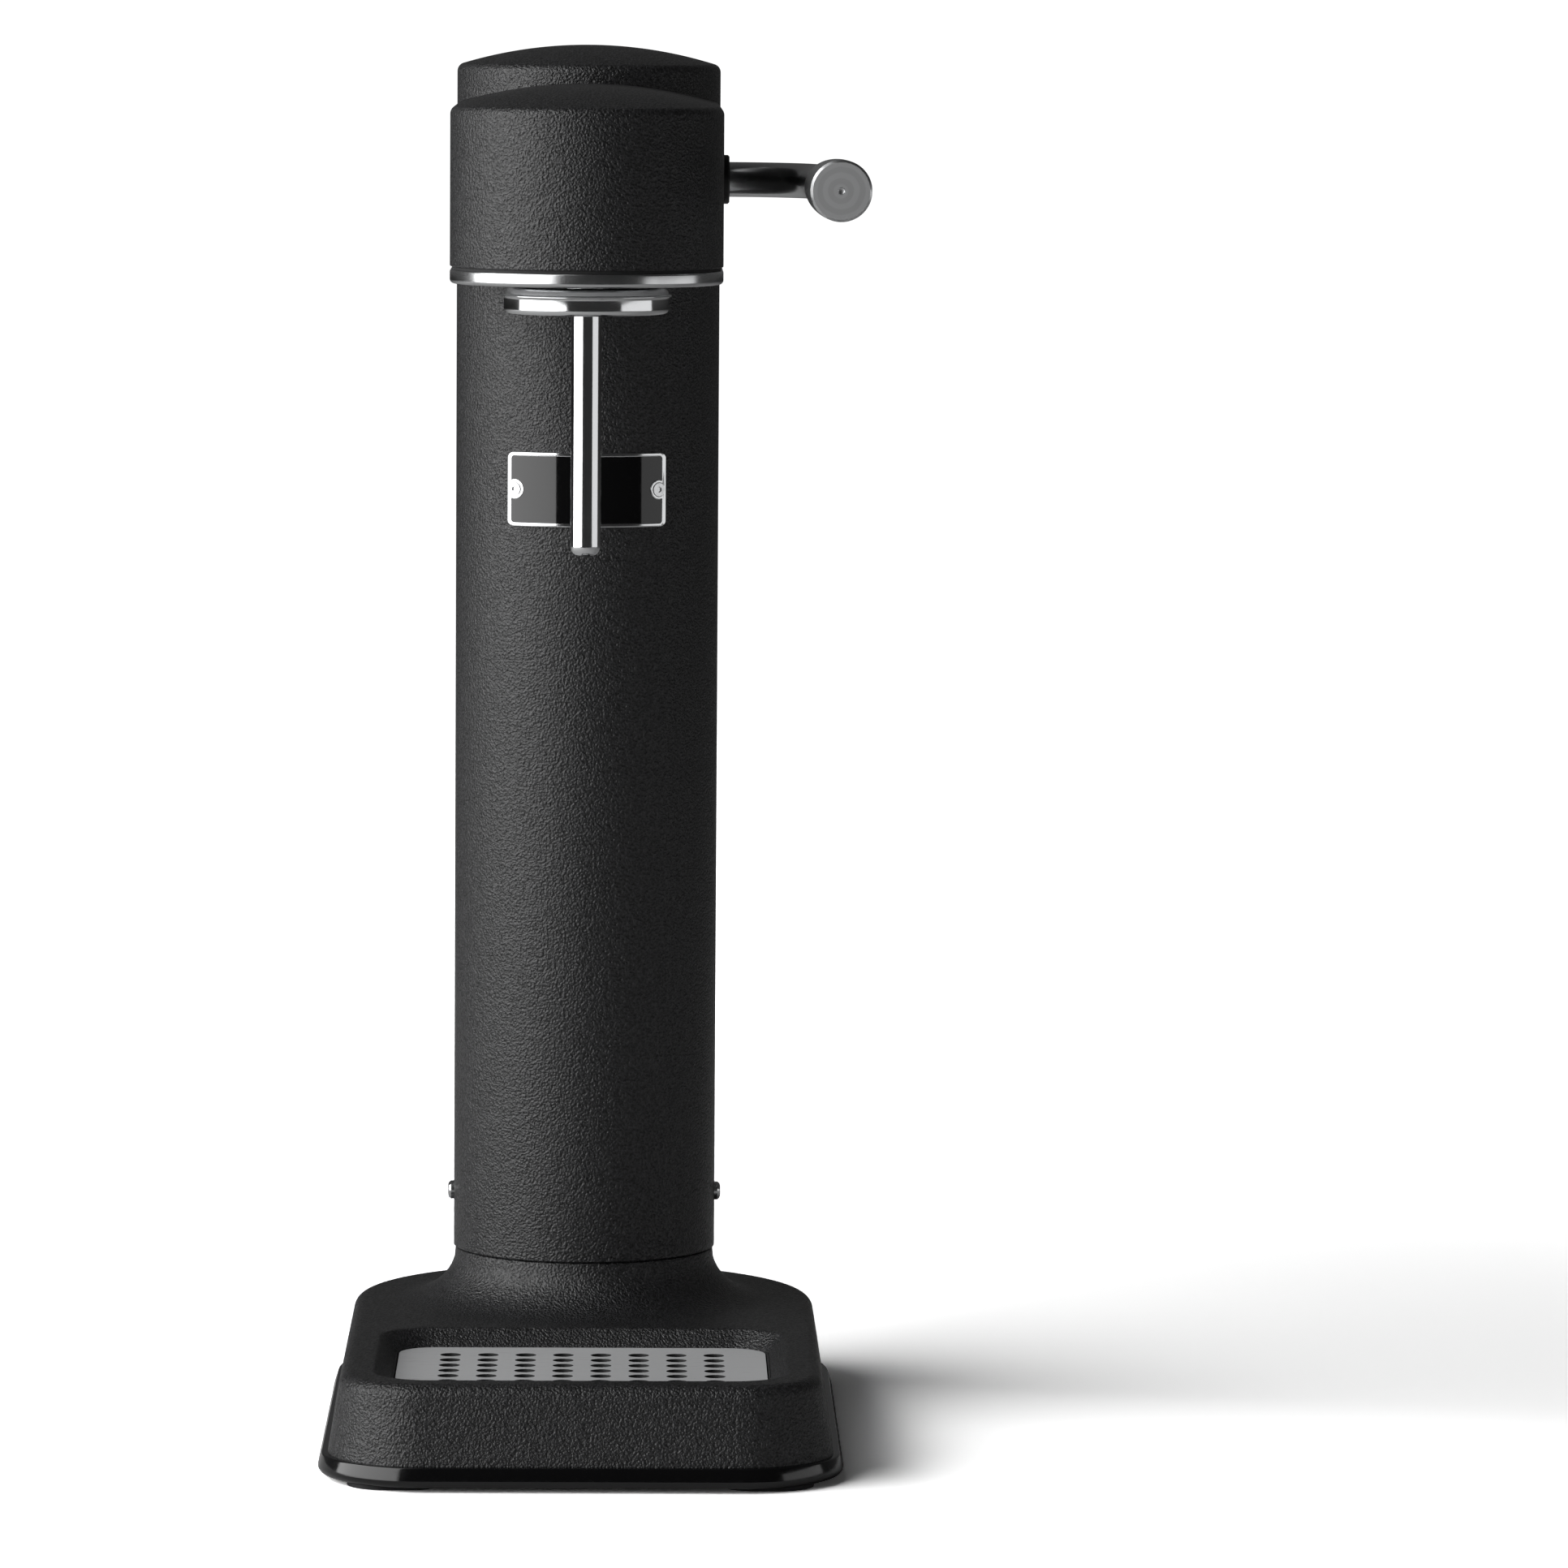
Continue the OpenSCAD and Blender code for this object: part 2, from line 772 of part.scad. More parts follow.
module top_plate() {
  color("#A9ABAE")
    difference() {
      post(liner_ro, z_top_plate0, z_top_plate1);
      post(block_boss_r + seat, z_top_plate0 - 1, z_top_plate1 + 1);
      for (a = [45:90:315])
        rotate([0, 0, a])
          translate([block_screw_r, 0, 0])
            post(screw_r + seat / 2, z_top_plate0 - 1, z_top_plate1 + 1);
      for (s = [-1, 1])
        translate([s * strip_screw_x, strip_screw_y, 0])
          post(screw_r + seat / 2, z_top_plate0 - 1, z_top_plate1 + 1);
    }
}

block_screw_r = 17.5;

module valve_block() {
  color("#B9955A")
    difference() {
      union() {
        post(block_boss_r, z_nut1, z_top_plate1);
        post(block_flange_r, z_top_plate1, z_block1);
      }
      post(plunger_r + fit, z_nut1 - 1, z_block1 + 1);
      post(valve_r + fit, z_nut1 - 1, z_nut1 + counterbore);
      for (a = [45:90:315])
        rotate([0, 0, a])
          translate([block_screw_r, 0, 0])
            post(screw_r + seat / 2, z_top_plate1 - 1, z_block1 + 1);
      // gas passage to the outlet
      translate([0, outlet_y, 0])
        post(1, z_block1 - 2.5, z_block1 + 1);
      translate([0, 0, z_block1 - 2.5])
        rotate([90, 0, 0])
          cylinder(h = -outlet_y, r = 0.9);
    }
}

module block_screws() {
  color("#B8BABD")
    for (a = [45:90:315])
      rotate([0, 0, a])
        translate([block_screw_r, 0, z_block1 + bracket_t + 1.8])
          socket_screw(screw_head_r, 1.8, screw_r, 1.8 + bracket_t + block_flange_t + top_plate_t, 1.3);
}

module seat_nut() {
  color("#B9955A")
    difference() {
      translate([0, 0, z_nut1 - nut_l])
        cylinder(h = nut_l, r = nut_r, $fn = 8);
      post(valve_r + fit, z_nut1 - nut_l - 1, z_nut1 + 1);
    }
}

module seat_gasket() {
  color("#2B2B2D")
    ring(valve_r - 0.2, 4.5, z_valve1 + gap, z_nut1 + counterbore);
}

module plunger() {
  color("#C9CACC")
    union() {
      post(plunger_r, z_stem0, z_plunger1 - plunger_head_t);
      post(plunger_head_r, z_plunger1 - plunger_head_t, z_plunger1);
    }
}

module plunger_spring() {
  color("#B8BABD")
    coil(5, 0.5, z_block1 + 0.05, z_plunger1 - plunger_head_t - 0.05, 3);
}

bracket_t = 2;
cheek_x = 25;
cheek_y = 13;

module cam_bracket() {
  color("#A9ABAE")
    difference() {
      union() {
        translate([-cheek_x - bracket_t, -cheek_y, z_block1])
          cube([2 * (cheek_x + bracket_t), 2 * cheek_y, bracket_t]);
        for (s = [-1, 1])
          translate([s > 0 ? cheek_x : -cheek_x - bracket_t, -cheek_y, z_block1])
            cube([bracket_t, 2 * cheek_y, z_lever - z_block1 + 10]);
      }
      post(plunger_head_r + gap, z_block1 - 1, z_block1 + bracket_t + 1);
      for (a = [45:90:315])
        rotate([0, 0, a])
          translate([block_screw_r, 0, 0])
            post(screw_r + seat / 2, z_block1 - 1, z_block1 + bracket_t + 1);
      translate([-cheek_x - bracket_t - 1, 0, z_lever])
        rotate([0, 90, 0])
          cylinder(h = 2 * (cheek_x + bracket_t + 1), r = bush_r + seat / 2);
    }
}

bush_r = 7;

// Flanged bush, flange towards +X at x
module bush_at(x) {
  translate([x, 0, z_lever])
    rotate([0, 90, 0])
      difference() {
        union() {
          cylinder(h = 1.2, r = bush_r + 1.5);
          translate([0, 0, -bracket_t])
            cylinder(h = bracket_t, r = bush_r);
        }
        translate([0, 0, -bracket_t - 1])
          cylinder(h = bracket_t + 4, r = rod_r + fit);
      }
}

module bracket_bushes() {
  color("#E4E2DC") {
    bush_at(cheek_x + bracket_t);
    mirror([1, 0, 0])
      bush_at(cheek_x + bracket_t);
  }
}

collar_r = 7.45;
collar_body_r = 6.6;
collar_out = 2.9;

module lever_collar() {
  color("#0C0C0D")
    translate([0, 0, z_lever])
      rotate([0, 90, 0])
        difference() {
          union() {
            translate([0, 0, column_r - 0.1])
              cylinder(h = collar_out, r = collar_r);
            translate([0, 0, column_r - 3])
              cylinder(h = 3, r = collar_body_r);
          }
          cylinder(h = column_r + 5, r = rod_r + fit);
        }
}

// ---- lever ----

rod_x0 = -cheek_x - bracket_t - 5;
bend_x = max(lever_out - lever_bend_r, column_r + 1.6);

module lever_rod() {
  color("#D9DADC")
    translate([0, 0, z_lever])
      difference() {
        union() {
          translate([rod_x0, 0, 0])
            rotate([0, 90, 0])
              cylinder(h = bend_x - rod_x0, r = rod_r);
          translate([bend_x, -lever_bend_r, 0])
            rotate([0, 0, lever_splay])
              rotate_extrude(angle = 90 - lever_splay)
                translate([lever_bend_r, 0])
                  circle(rod_r);
          at_grip()
            cylinder(h = grip_end - 4, r = rod_r - spigot_step);
          at_grip()
            cylinder(h = grip_end - grip_len, r = rod_r);
        }
        // circlip groove
        translate([rod_x0 + 1.5, 0, 0])
          rotate([0, 90, 0])
            ring(rod_r + 1, rod_r - 0.9, 0, 1.2);
        // pin hole through rod and cam
        translate([0, 0, -rod_r - 1])
          cylinder(h = 2 * rod_r + 2, r = cam_pin_r + seat / 2);
      }
}

// The rod steps down by this much where it enters the grip
spigot_step = 1.3;
// Distance from the end of the bend to the free end of the grip
grip_end = lever_len - lever_bend_r;

// Axis of the grip, starting at the end of the bend
module at_grip() {
  translate([bend_x, -lever_bend_r, 0])
    rotate([0, 0, lever_splay])
      translate([lever_bend_r, 0, 0])
        rotate([90, 0, 0])
          children();
}

module lever_grip() {
  y0 = grip_end - grip_len;
  color("#D9DADC")
    translate([0, 0, z_lever])
      at_grip()
        difference() {
          rotate_extrude()
            polygon(concat(
              [[0, y0], [grip_root_r - 0.6, y0], [grip_root_r, y0 + 0.8]],
              [for (i = [1:6]) let (t = i / 6)
                [grip_root_r + (grip_r - grip_root_r) * (1 - (1 - t) * (1 - t)), y0 + 0.8 + t * (grip_len - 8)]],
              [[grip_r, grip_end - 0.6], [grip_r - 0.6, grip_end], [1, grip_end], [0, grip_end - 0.6]]
            ));
          translate([0, 0, y0 - 1])
            cylinder(h = grip_len - 3 + seat, r = rod_r - spigot_step + seat / 2);
        }
}

cam_w = 10;
cam_pin_r = 1.2;

module lever_cam() {
  color("#8F9194")
    translate([-cam_w / 2, 0, z_lever])
      rotate([0, 90, 0])
        difference() {
          union() {
            translate([0, -cam_offset, 0])
              cylinder(h = cam_w, r = cam_r);
            cylinder(h = cam_w, r = min(rod_r + 2.6, cam_r));
          }
          translate([0, 0, -1])
            cylinder(h = cam_w + 2, r = rod_r + 0.02);
          translate([-cam_r - 5, 0, cam_w / 2])
            rotate([0, 90, 0])
              cylinder(h = 2 * cam_r + 10, r = cam_pin_r + seat / 2);
        }
}

module cam_pin() {
  color("#B8BABD")
    translate([0, 0, z_lever])
      post(cam_pin_r, -rod_r - 2, rod_r + 2);
}

module lever_circlip() {
  color("#3A3B3D")
    translate([rod_x0 + 1.55, 0, z_lever])
      rotate([0, 90, 0])
        difference() {
          ring(rod_r + 2, rod_r - 0.85, 0, 1.1);
          translate([0, -1.5, -1])
            cube([rod_r + 4, 3, 4]);
        }
}

// ---- name plate ----

// Curved plate that follows the column, cut to a rounded rectangle
module badge_plate(ri, ro, w, h, r) {
  intersection() {
    ring(ro, ri, badge_z - h, badge_z + h);
    translate([0, 0, badge_z])
      rotate([90, 0, 0])
        linear_extrude(column_r + 5)
          rounded_plan(w / 2 - r, -h / 2 + r, h / 2 - r, r);
  }
}

badge_shank_r = 1;
badge_head_t = 0.8;
badge_scallop_r = 2.95;

// Radial direction of each name plate screw
module at_badge_screws() {
  for (s = [-1, 1])
    rotate([0, 0, -90 + s * badge_screw_a])
      translate([column_r, 0, badge_z])
        rotate([0, 90, 0])
          children();
}

module badge_inner(ri, ro, w) {
  difference() {
    badge_plate(ri, ro, badge_w - w, badge_h - w, 0.9);
    at_badge_screws()
      translate([0, 0, -3])
        cylinder(h = 8, r = badge_scallop_r + w / 2 - badge_border);
  }
}

module name_plate_frame() {
  color("#D9DADC")
    difference() {
      badge_plate(column_r + 0.02, column_r + badge_t, badge_w, badge_h, 1.7);
      badge_inner(column_r + badge_t * 0.4, column_r + badge_t + 2, 2 * badge_border);
      at_badge_screws()
        translate([0, 0, -3])
          cylinder(h = 8, r = badge_shank_r + seat);
      at_badge_screws()
        translate([0, 0, badge_t * 0.4])
          cylinder(h = 8, r = badge_screw_r + seat);
    }
}

module name_plate_face() {
  color("#0C0C0D")
    badge_inner(column_r + badge_t * 0.4, column_r + badge_t * 0.8, 2 * badge_border + 0.1);
}

module name_plate_screws() {
  color("#9A9C9F")
    at_badge_screws()
      translate([0, 0, badge_t * 0.4 + badge_head_t])
        socket_screw(badge_screw_r, badge_head_t, badge_shank_r, 4.5, 0.9);
}

side_head_r = 2.8;

module side_screws() {
  color("#B8BABD")
    for (s = [-1, 1])
      translate([0, 0, z_side_screw])
        rotate([0, s * 90, 0])
          translate([0, 0, column_r + 1.8])
            difference() {
              union() {
                rotate_extrude()
                  polygon([[0, -1.95], [side_head_r, -1.95], [side_head_r, -0.9], [2.3, -0.25], [1.6, 0], [0, 0]]);
                post(screw_r, -7.5, -1.9);
              }
              translate([0, 0, -1.1])
                cylinder(h = 2, r = 1.1, $fn = 6);
            }
}

// ---- base ----

fillet_r = 4;

// Outer side wall of the shell as offsets from its bottom radius
function shell_edge(inset, z0, z1) = concat(
  [[-inset, z0]],
  [for (i = [0:4]) let (a = i * 22.5)
    [-side_lean - inset - fillet_r + fillet_r * cos(a), z1 - fillet_r + fillet_r * sin(a)]]
);

module base_shell() {
  flare_h = skirt_h - base_h;
  color("#26262A")
    difference() {
      union() {
        difference() {
          d_shape(shell_edge(0, z_shell0, base_h), shell_r0, shell_y0, corner_r);
          d_shape(shell_edge(shell_t, z_shell0 - 1, base_h - shell_t), shell_r0, shell_y0, corner_r);
        }
        // flared skirt up to the column, a quarter of an ellipse
        rotate_extrude()
          polygon(concat(
            [[liner_ri, base_h - shell_t - 0.5], [skirt_top_r + flare_w, base_h - shell_t - 0.5]],
            [for (a = [90:-10:0]) [skirt_top_r + flare_w * (1 - cos(a)), skirt_h - flare_h * sin(a)]],
            [[liner_ri, skirt_h]]
          ));
        // spigot inside the column, and the sleeve below it
        ring(liner_ro, liner_ri, skirt_h - 1, z_spigot1);
        ring(liner_ro, liner_ri, z_shell0, base_h);
        // walls of the tray recess
        sloped_tray(tray_cx, tray_cy0, tray_cy1, tray_corner_r + 2, z_ledge - 2, tray_corner_r + 2, base_h - shell_t + 0.5);
        // screw bosses
        for (p = boss_pos)
          translate([p[0], p[1], 0])
            post(boss_r, z_shell0, base_h - shell_t + 0.2);
      }
      // recess, ledge and pan opening
      sloped_tray(tray_cx, tray_cy0, tray_cy1,
        tray_corner_r - tray_slope, z_ledge, tray_corner_r - tray_slope, z_grille + 0.01);
      sloped_tray(tray_cx, tray_cy0, tray_cy1,
        tray_corner_r - tray_slope, z_grille, tray_corner_r + tray_slope * 0.1, base_h + 0.5);
      rounded_box(tray_cx, tray_cy0, tray_cy1, pan_corner_r + gap, z_shell0 - 1, base_h);
      // bore for the gas cylinder
      post(liner_ri, z_shell0 - 1, z_spigot1 + 1);
      for (p = boss_pos)
        translate([p[0], p[1], 0])
          post(screw_r, z_shell0 - 1, z_shell0 + 12);
      for (s = [-1, 1])
        translate([0, 0, z_side_screw])
          rotate([0, s * 90, 0])
            cylinder(h = column_r, r = screw_r + seat / 2);
    }
}

module base_plate() {
  edge = [[-2.4, z_plate0], [-0.7, z_plate0 + 1], [0, z_plate0 + 2.2], [-0.9, z_plate1 - 0.5], [-1.4, z_plate1]];
  color("#101011")
    difference() {
      d_shape(edge, plate_r, front_y, corner_r + 2.9);
      post(port_r, z_plate0 - 1, z_plate1 + 1);
      for (p = boss_pos)
        translate([p[0], p[1], 0]) {
          post(screw_r + seat, z_plate0 - 1, z_plate1 + 1);
          post(screw_head_r + seat, z_plate0 - 1, z_plate0 + 2);
        }
      for (p = foot_pos)
        translate([p[0], p[1], 0])
          rounded_box(foot_w / 2 - foot_corner_r, -foot_d / 2 + foot_corner_r, foot_d / 2 - foot_corner_r,
            foot_corner_r + seat, z_plate0 - 1, z_plate0 + foot_inset);
    }
}

module plate_screws() {
  color("#B8BABD")
    for (p = boss_pos)
      translate([p[0], p[1], z_plate0 + 0.2])
        mirror([0, 0, 1])
          socket_screw(screw_head_r, 1.8, screw_r, plate_t + 10, 1.3);
}

module feet() {
  color("#1B1B1C")
    for (p = foot_pos)
      translate([p[0], p[1], 0])
        rounded_box(foot_w / 2 - foot_corner_r, -foot_d / 2 + foot_corner_r, foot_d / 2 - foot_corner_r,
          foot_corner_r, 0, foot_h + foot_inset);
}

module drip_pan() {
  rim_r = tray_corner_r - tray_slope - gap;
  color("#1B1B1C")
    difference() {
      union() {
        rounded_box(tray_cx, tray_cy0, tray_cy1, rim_r, z_ledge, z_ledge + pan_flange_t);
        rounded_box(tray_cx, tray_cy0, tray_cy1, pan_corner_r, pan_bottom, z_ledge);
      }
      rounded_box(tray_cx, tray_cy0, tray_cy1, pan_corner_r - pan_t, pan_bottom + pan_t, z_ledge + pan_flange_t + 1);
    }
}

module drip_grille() {
  x0 = -(hole_cols - 1) * hole_dx / 2;
  y0 = tray_mid - (hole_rows - 1) * hole_dy / 2;
  color("#C9CACC")
    translate([0, 0, z_grille - grille_t])
      linear_extrude(grille_t)
        difference() {
          rounded_plan(tray_cx, tray_cy0, tray_cy1, grille_corner_r);
          for (i = [0:hole_cols - 1], j = [0:hole_rows - 1])
            translate([x0 + i * hole_dx, y0 + j * hole_dy])
              circle(hole_r);
        }
}

// ---- gas cylinder ----

module cylinder_guide() {
  color("#1B1B1C")
    union() {
      ring(liner_ri - seat, guide_ri, z_plate1, base_h - 2);
      ring(port_r - seat, guide_ri, z_plate0 + 1, z_plate1);
    }
}

module gas_cylinder() {
  zb = bottle_z;
  er = 6;
  outer = concat(
    [[0, zb], [bottle_r - er, zb]],
    [for (i = [1:4]) let (a = i * 22.5) [bottle_r - er + er * sin(a), zb + er - er * cos(a)]],
    [for (i = [0:6]) let (a = i * 13) [neck_r + (bottle_r - neck_r) * (cos(a) - cos(78)) / (1 - cos(78)),
      z_shoulder0 + shoulder_h * sin(a) / sin(78)]],
    [[neck_r, z_neck1], [0, z_neck1]]
  );
  rb = bottle_r - bottle_wall;
  inner = concat(
    [[0, zb + bottle_wall], [rb - 3, zb + bottle_wall], [rb, zb + bottle_wall + 3], [rb, z_shoulder0]],
    [for (i = [1:6]) let (a = i * 13) [neck_r - bottle_wall + (bottle_r - neck_r) * (cos(a) - cos(78)) / (1 - cos(78)),
      z_shoulder0 - bottle_wall + shoulder_h * sin(a) / sin(78)]],
    [[0, z_shoulder0 - bottle_wall + shoulder_h]]
  );
  color("#8E9196")
    difference() {
      rotate_extrude()
        polygon(outer);
      rotate_extrude()
        polygon(inner);
      post(valve_root_r + seat / 2, z_shoulder1 - 4, z_neck1 + 1);
    }
}

valve_root_r = 8.6;
pin_r = 1.5;

module cylinder_valve() {
  color("#B9955A")
    difference() {
      union() {
        post(valve_root_r, z_shoulder1 - 2, z_neck1);
        post(valve_r, z_neck1, z_valve1);
      }
      post(pin_r + fit, z_shoulder1 - 3, z_valve1 + 1);
    }
}

module valve_pin() {
  color("#C9CACC")
    post(pin_r, z_shoulder1 + 6, z_pin1);
}

column_tube();
head_cover();
head_gasket();
head_underplate();
underplate_screws();
bottle_holder();
bottle_seal();
holder_hub();
nozzle_tube();
nozzle_jet();
nozzle_block();
head_strip();
strip_screws();
relief_body();
relief_poppet();
relief_spring();
relief_cap();
gas_hose();
hose_nipples();
hose_clips();
liner_tube();
top_plate();
valve_block();
block_screws();
seat_nut();
seat_gasket();
plunger();
plunger_spring();
cam_bracket();
bracket_bushes();
lever_collar();
lever_rod();
lever_grip();
lever_cam();
cam_pin();
lever_circlip();
name_plate_frame();
name_plate_face();
name_plate_screws();
side_screws();
base_shell();
base_plate();
plate_screws();
feet();
drip_pan();
drip_grille();
cylinder_guide();
gas_cylinder();
cylinder_valve();
valve_pin();
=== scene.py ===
import json
import math

import bmesh
import bpy
from mathutils import Matrix, Vector

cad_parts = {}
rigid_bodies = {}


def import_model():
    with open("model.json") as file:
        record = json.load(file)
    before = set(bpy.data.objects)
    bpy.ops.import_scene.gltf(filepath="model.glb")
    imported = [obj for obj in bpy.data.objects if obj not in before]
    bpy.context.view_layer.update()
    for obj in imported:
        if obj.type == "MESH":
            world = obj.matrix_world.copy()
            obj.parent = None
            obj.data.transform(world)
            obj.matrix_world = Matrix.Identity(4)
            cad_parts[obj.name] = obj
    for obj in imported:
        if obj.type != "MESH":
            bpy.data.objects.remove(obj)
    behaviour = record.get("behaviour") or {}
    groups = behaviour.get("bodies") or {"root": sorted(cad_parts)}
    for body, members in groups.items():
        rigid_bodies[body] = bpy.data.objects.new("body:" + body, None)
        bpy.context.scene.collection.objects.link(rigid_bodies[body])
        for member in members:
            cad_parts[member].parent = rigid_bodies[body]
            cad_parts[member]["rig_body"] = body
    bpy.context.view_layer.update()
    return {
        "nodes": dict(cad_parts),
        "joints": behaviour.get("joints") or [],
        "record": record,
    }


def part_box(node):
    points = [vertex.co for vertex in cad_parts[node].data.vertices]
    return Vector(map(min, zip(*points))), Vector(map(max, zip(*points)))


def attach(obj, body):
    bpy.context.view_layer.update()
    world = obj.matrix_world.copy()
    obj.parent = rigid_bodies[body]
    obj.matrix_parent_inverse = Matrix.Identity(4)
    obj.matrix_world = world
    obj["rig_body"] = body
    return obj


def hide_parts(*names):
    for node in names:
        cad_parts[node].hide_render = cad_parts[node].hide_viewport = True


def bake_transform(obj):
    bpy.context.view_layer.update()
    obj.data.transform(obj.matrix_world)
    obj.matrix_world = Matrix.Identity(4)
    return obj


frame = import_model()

bl_info = {
    "name": "Soda carbonator",
    "version": (1, 0, 0),
    "blender": (4, 5, 0),
    "location": "3D View > Sidebar > Carbonator",
    "description": "Casing, head, lever, drip tray and studio of a countertop soda carbonator",
    "category": "Add Mesh",
}

MM = 0.001

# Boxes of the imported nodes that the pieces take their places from
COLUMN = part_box("column_tube")
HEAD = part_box("head_cover")
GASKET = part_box("head_gasket")
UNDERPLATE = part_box("head_underplate")
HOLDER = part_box("bottle_holder")
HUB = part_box("holder_hub")
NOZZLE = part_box("nozzle_tube")
LEVER_AXIS = Vector(next(j for j in frame["joints"] if j["name"] == "lever_press")["pos_m"])
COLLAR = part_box("lever_collar")
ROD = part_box("lever_rod")
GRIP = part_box("lever_grip")
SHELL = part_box("base_shell")
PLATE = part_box("base_plate")
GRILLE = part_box("drip_grille")
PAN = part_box("drip_pan")
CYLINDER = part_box("gas_cylinder")

COLUMN_R = COLUMN[1].x
HEAD_AXIS_Y = HEAD[0].y + COLUMN_R

# Sizes of the source that the boxes do not give
HEAD_PLATE_BACK = -22 * MM      # where the gasket and the plate under the head end, inside the column
GRIP_LENGTH = 61 * MM
GRIP_END_R = 9 * MM
PLATE_BORDER = 2.9 * MM         # how far the base plate stands out from the foot of the shell
TRAY_DEPTH = 5.1 * MM           # from the top of the base down to the grille
TUBE_GAP = 0.1 * MM             # round the nozzle tube where it goes through the holder

FLAT = 1.2 * MM                 # flat strip at the edge of a sweep, which a cap is joined to
NEAR = 0.01 * MM                # how close a point is to a plane that it lies in


def linear(hex_colour):
    """An sRGB hex colour as the linear red, green and blue that Blender's sockets take."""
    channels = [int(hex_colour[i:i + 2], 16) / 255 for i in (1, 3, 5)]
    return tuple(c / 12.92 if c <= 0.04045 else ((c + 0.055) / 1.055) ** 2.4 for c in channels)


def length(name, description, millimetres):
    """A length property of the sizes panel."""
    return bpy.props.FloatProperty(
        name=name, description=description, default=millimetres * MM, min=0, unit="LENGTH", precision=5)


def colour(name, description, hex_colour):
    """A colour property of the finishes panel."""
    return bpy.props.FloatVectorProperty(
        name=name, description=description, default=linear(hex_colour), min=0, max=1, subtype="COLOR", size=3)


class CarbonatorSizes(bpy.types.PropertyGroup):
    sheet: length("Casing sheet", "Thickness of the column and head casing", 1.5)
    dome_r: length("Dome radius", "Radius of the shallow domes on the column and head", 131)
    dome_edge_r: length("Dome edge", "Rounding between a dome and its side wall", 2.6)
    flare_w: length("Skirt flare", "Width of the flare where the base rises to the column", 18.5)
    lean: length("Side lean", "How far the base walls lean in from bottom to top", 3.1)
    shell_edge_r: length("Base edge", "Rounding along the top edge of the base", 4)
    corner_r: length("Base corner", "Radius of the front corners of the base", 28)
    tray_w: length("Tray width", "Width of the tray recess at the top of the base", 121)
    tray_corner_r: length("Tray corner", "Corner radius of the tray recess at its top", 17)
    tray_slope: length("Tray slope", "How far the walls of the recess lean in", 5.5)
    tray_rim_r: length("Tray rim", "Rounding along the top edge of the recess", 1.6)
    hole_r: length("Grille hole", "Radius of the holes in the drip grille", 3)
    hole_dx: length("Hole columns", "Distance between the columns of holes", 11.2)
    hole_dy: length("Hole rows", "Distance between the rows of holes", 9.8)
    rod_r: length("Lever rod", "Radius of the bent lever rod", 5.3)
    bend_r: length("Lever bend", "Radius of the bend in the lever rod", 28)
    lever_splay: bpy.props.FloatProperty(
        name="Lever splay", description="Angle by which the grip points outward",
        default=math.radians(2.2), subtype="ANGLE")


class CarbonatorFinishes(bpy.types.PropertyGroup):
    coat: colour("Powder coat", "Textured powder coat on the casing and base", "#1F1F20")
    steel: colour("Stainless steel", "Polished and turned stainless steel", "#DCDDDE")
    gloss: colour("Gloss black", "Base plate and name plate", "#0B0B0C")
    plastic: colour("Black plastic", "Collar, pan, liner and guide", "#161617")
    rubber: colour("Rubber", "Feet, gasket and seals", "#1C1C1D")
    brass: colour("Brass", "Gas valve and fittings", "#C9A35C")
    aluminium: colour("Aluminium", "Gas cylinder", "#A9ADB3")
    acetal: colour("Acetal", "Bushes of the lever bracket", "#E2E0DA")


# ---- finishes ----

WAVE = math.pi / 10             # from one wave to the next in a wave texture of scale 1
MIDDLE = {"From Min": 0.3, "From Max": 0.7}     # where most of a noise texture's values lie


def add_node(tree, kind, inputs=None, links=None, feeds=None, ramp=(), **settings):
    """Adds a node, sets its attributes, sockets and ramp, links its inputs and feeds its outputs to sockets."""
    node = tree.nodes.new(kind)
    for name, value in settings.items():
        setattr(node, name, value)
    for name, value in (inputs or {}).items():
        node.inputs[name].default_value = value
    for name, socket in (links or {}).items():
        tree.links.new(socket, node.inputs[name])
    for name, socket in (feeds or {}).items():
        tree.links.new(node.outputs[name], socket)
    for index, (position, tone) in enumerate(ramp):
        node.color_ramp.elements[index].position = position
        node.color_ramp.elements[index].color = (*tone, 1)
    return node


def finish(name, base, **sockets):
    """Starts a material and returns it with its tree, its shader and the object coordinates."""
    material = bpy.data.materials.new(name)
    material.use_nodes = True
    tree = material.node_tree
    shader = tree.nodes["Principled BSDF"]
    shader.inputs["Base Color"].default_value = (*base, 1)
    for socket, value in sockets.items():
        shader.inputs[socket.replace("_", " ")].default_value = value
    place = add_node(tree, "ShaderNodeTexCoord").outputs["Object"]
    return material, tree, shader, place


def shade(base, factor):
    return tuple(min(1, c * factor) for c in base)


def textured_powder_coat(base):
    """Fine-texture polyester powder coat: grains about 0.75 mm apart give a dry, sparkling satin black."""
    material, tree, shader, place = finish("Fine texture powder coat", base, Roughness=0.45, IOR=1.5)
    grains = add_node(tree, "ShaderNodeTexNoise",
                      {"Scale": 1 / (0.75 * MM), "Detail": 1.5, "Roughness": 0.55},
                      {"Vector": place}).outputs["Fac"]
    add_node(tree, "ShaderNodeBump", {"Strength": 1.0, "Distance": 0.6 * MM},
             {"Height": grains}, {"Normal": shader.inputs["Normal"]})
    add_node(tree, "ShaderNodeValToRGB", None, {"Fac": grains}, {"Color": shader.inputs["Base Color"]},
             ramp=((0.35, shade(base, 0.2)), (0.65, shade(base, 2.2))))
    add_node(tree, "ShaderNodeMapRange", {**MIDDLE, "To Min": 0.42, "To Max": 0.3},
             {"Value": grains}, {"Result": shader.inputs["Roughness"]})
    return material


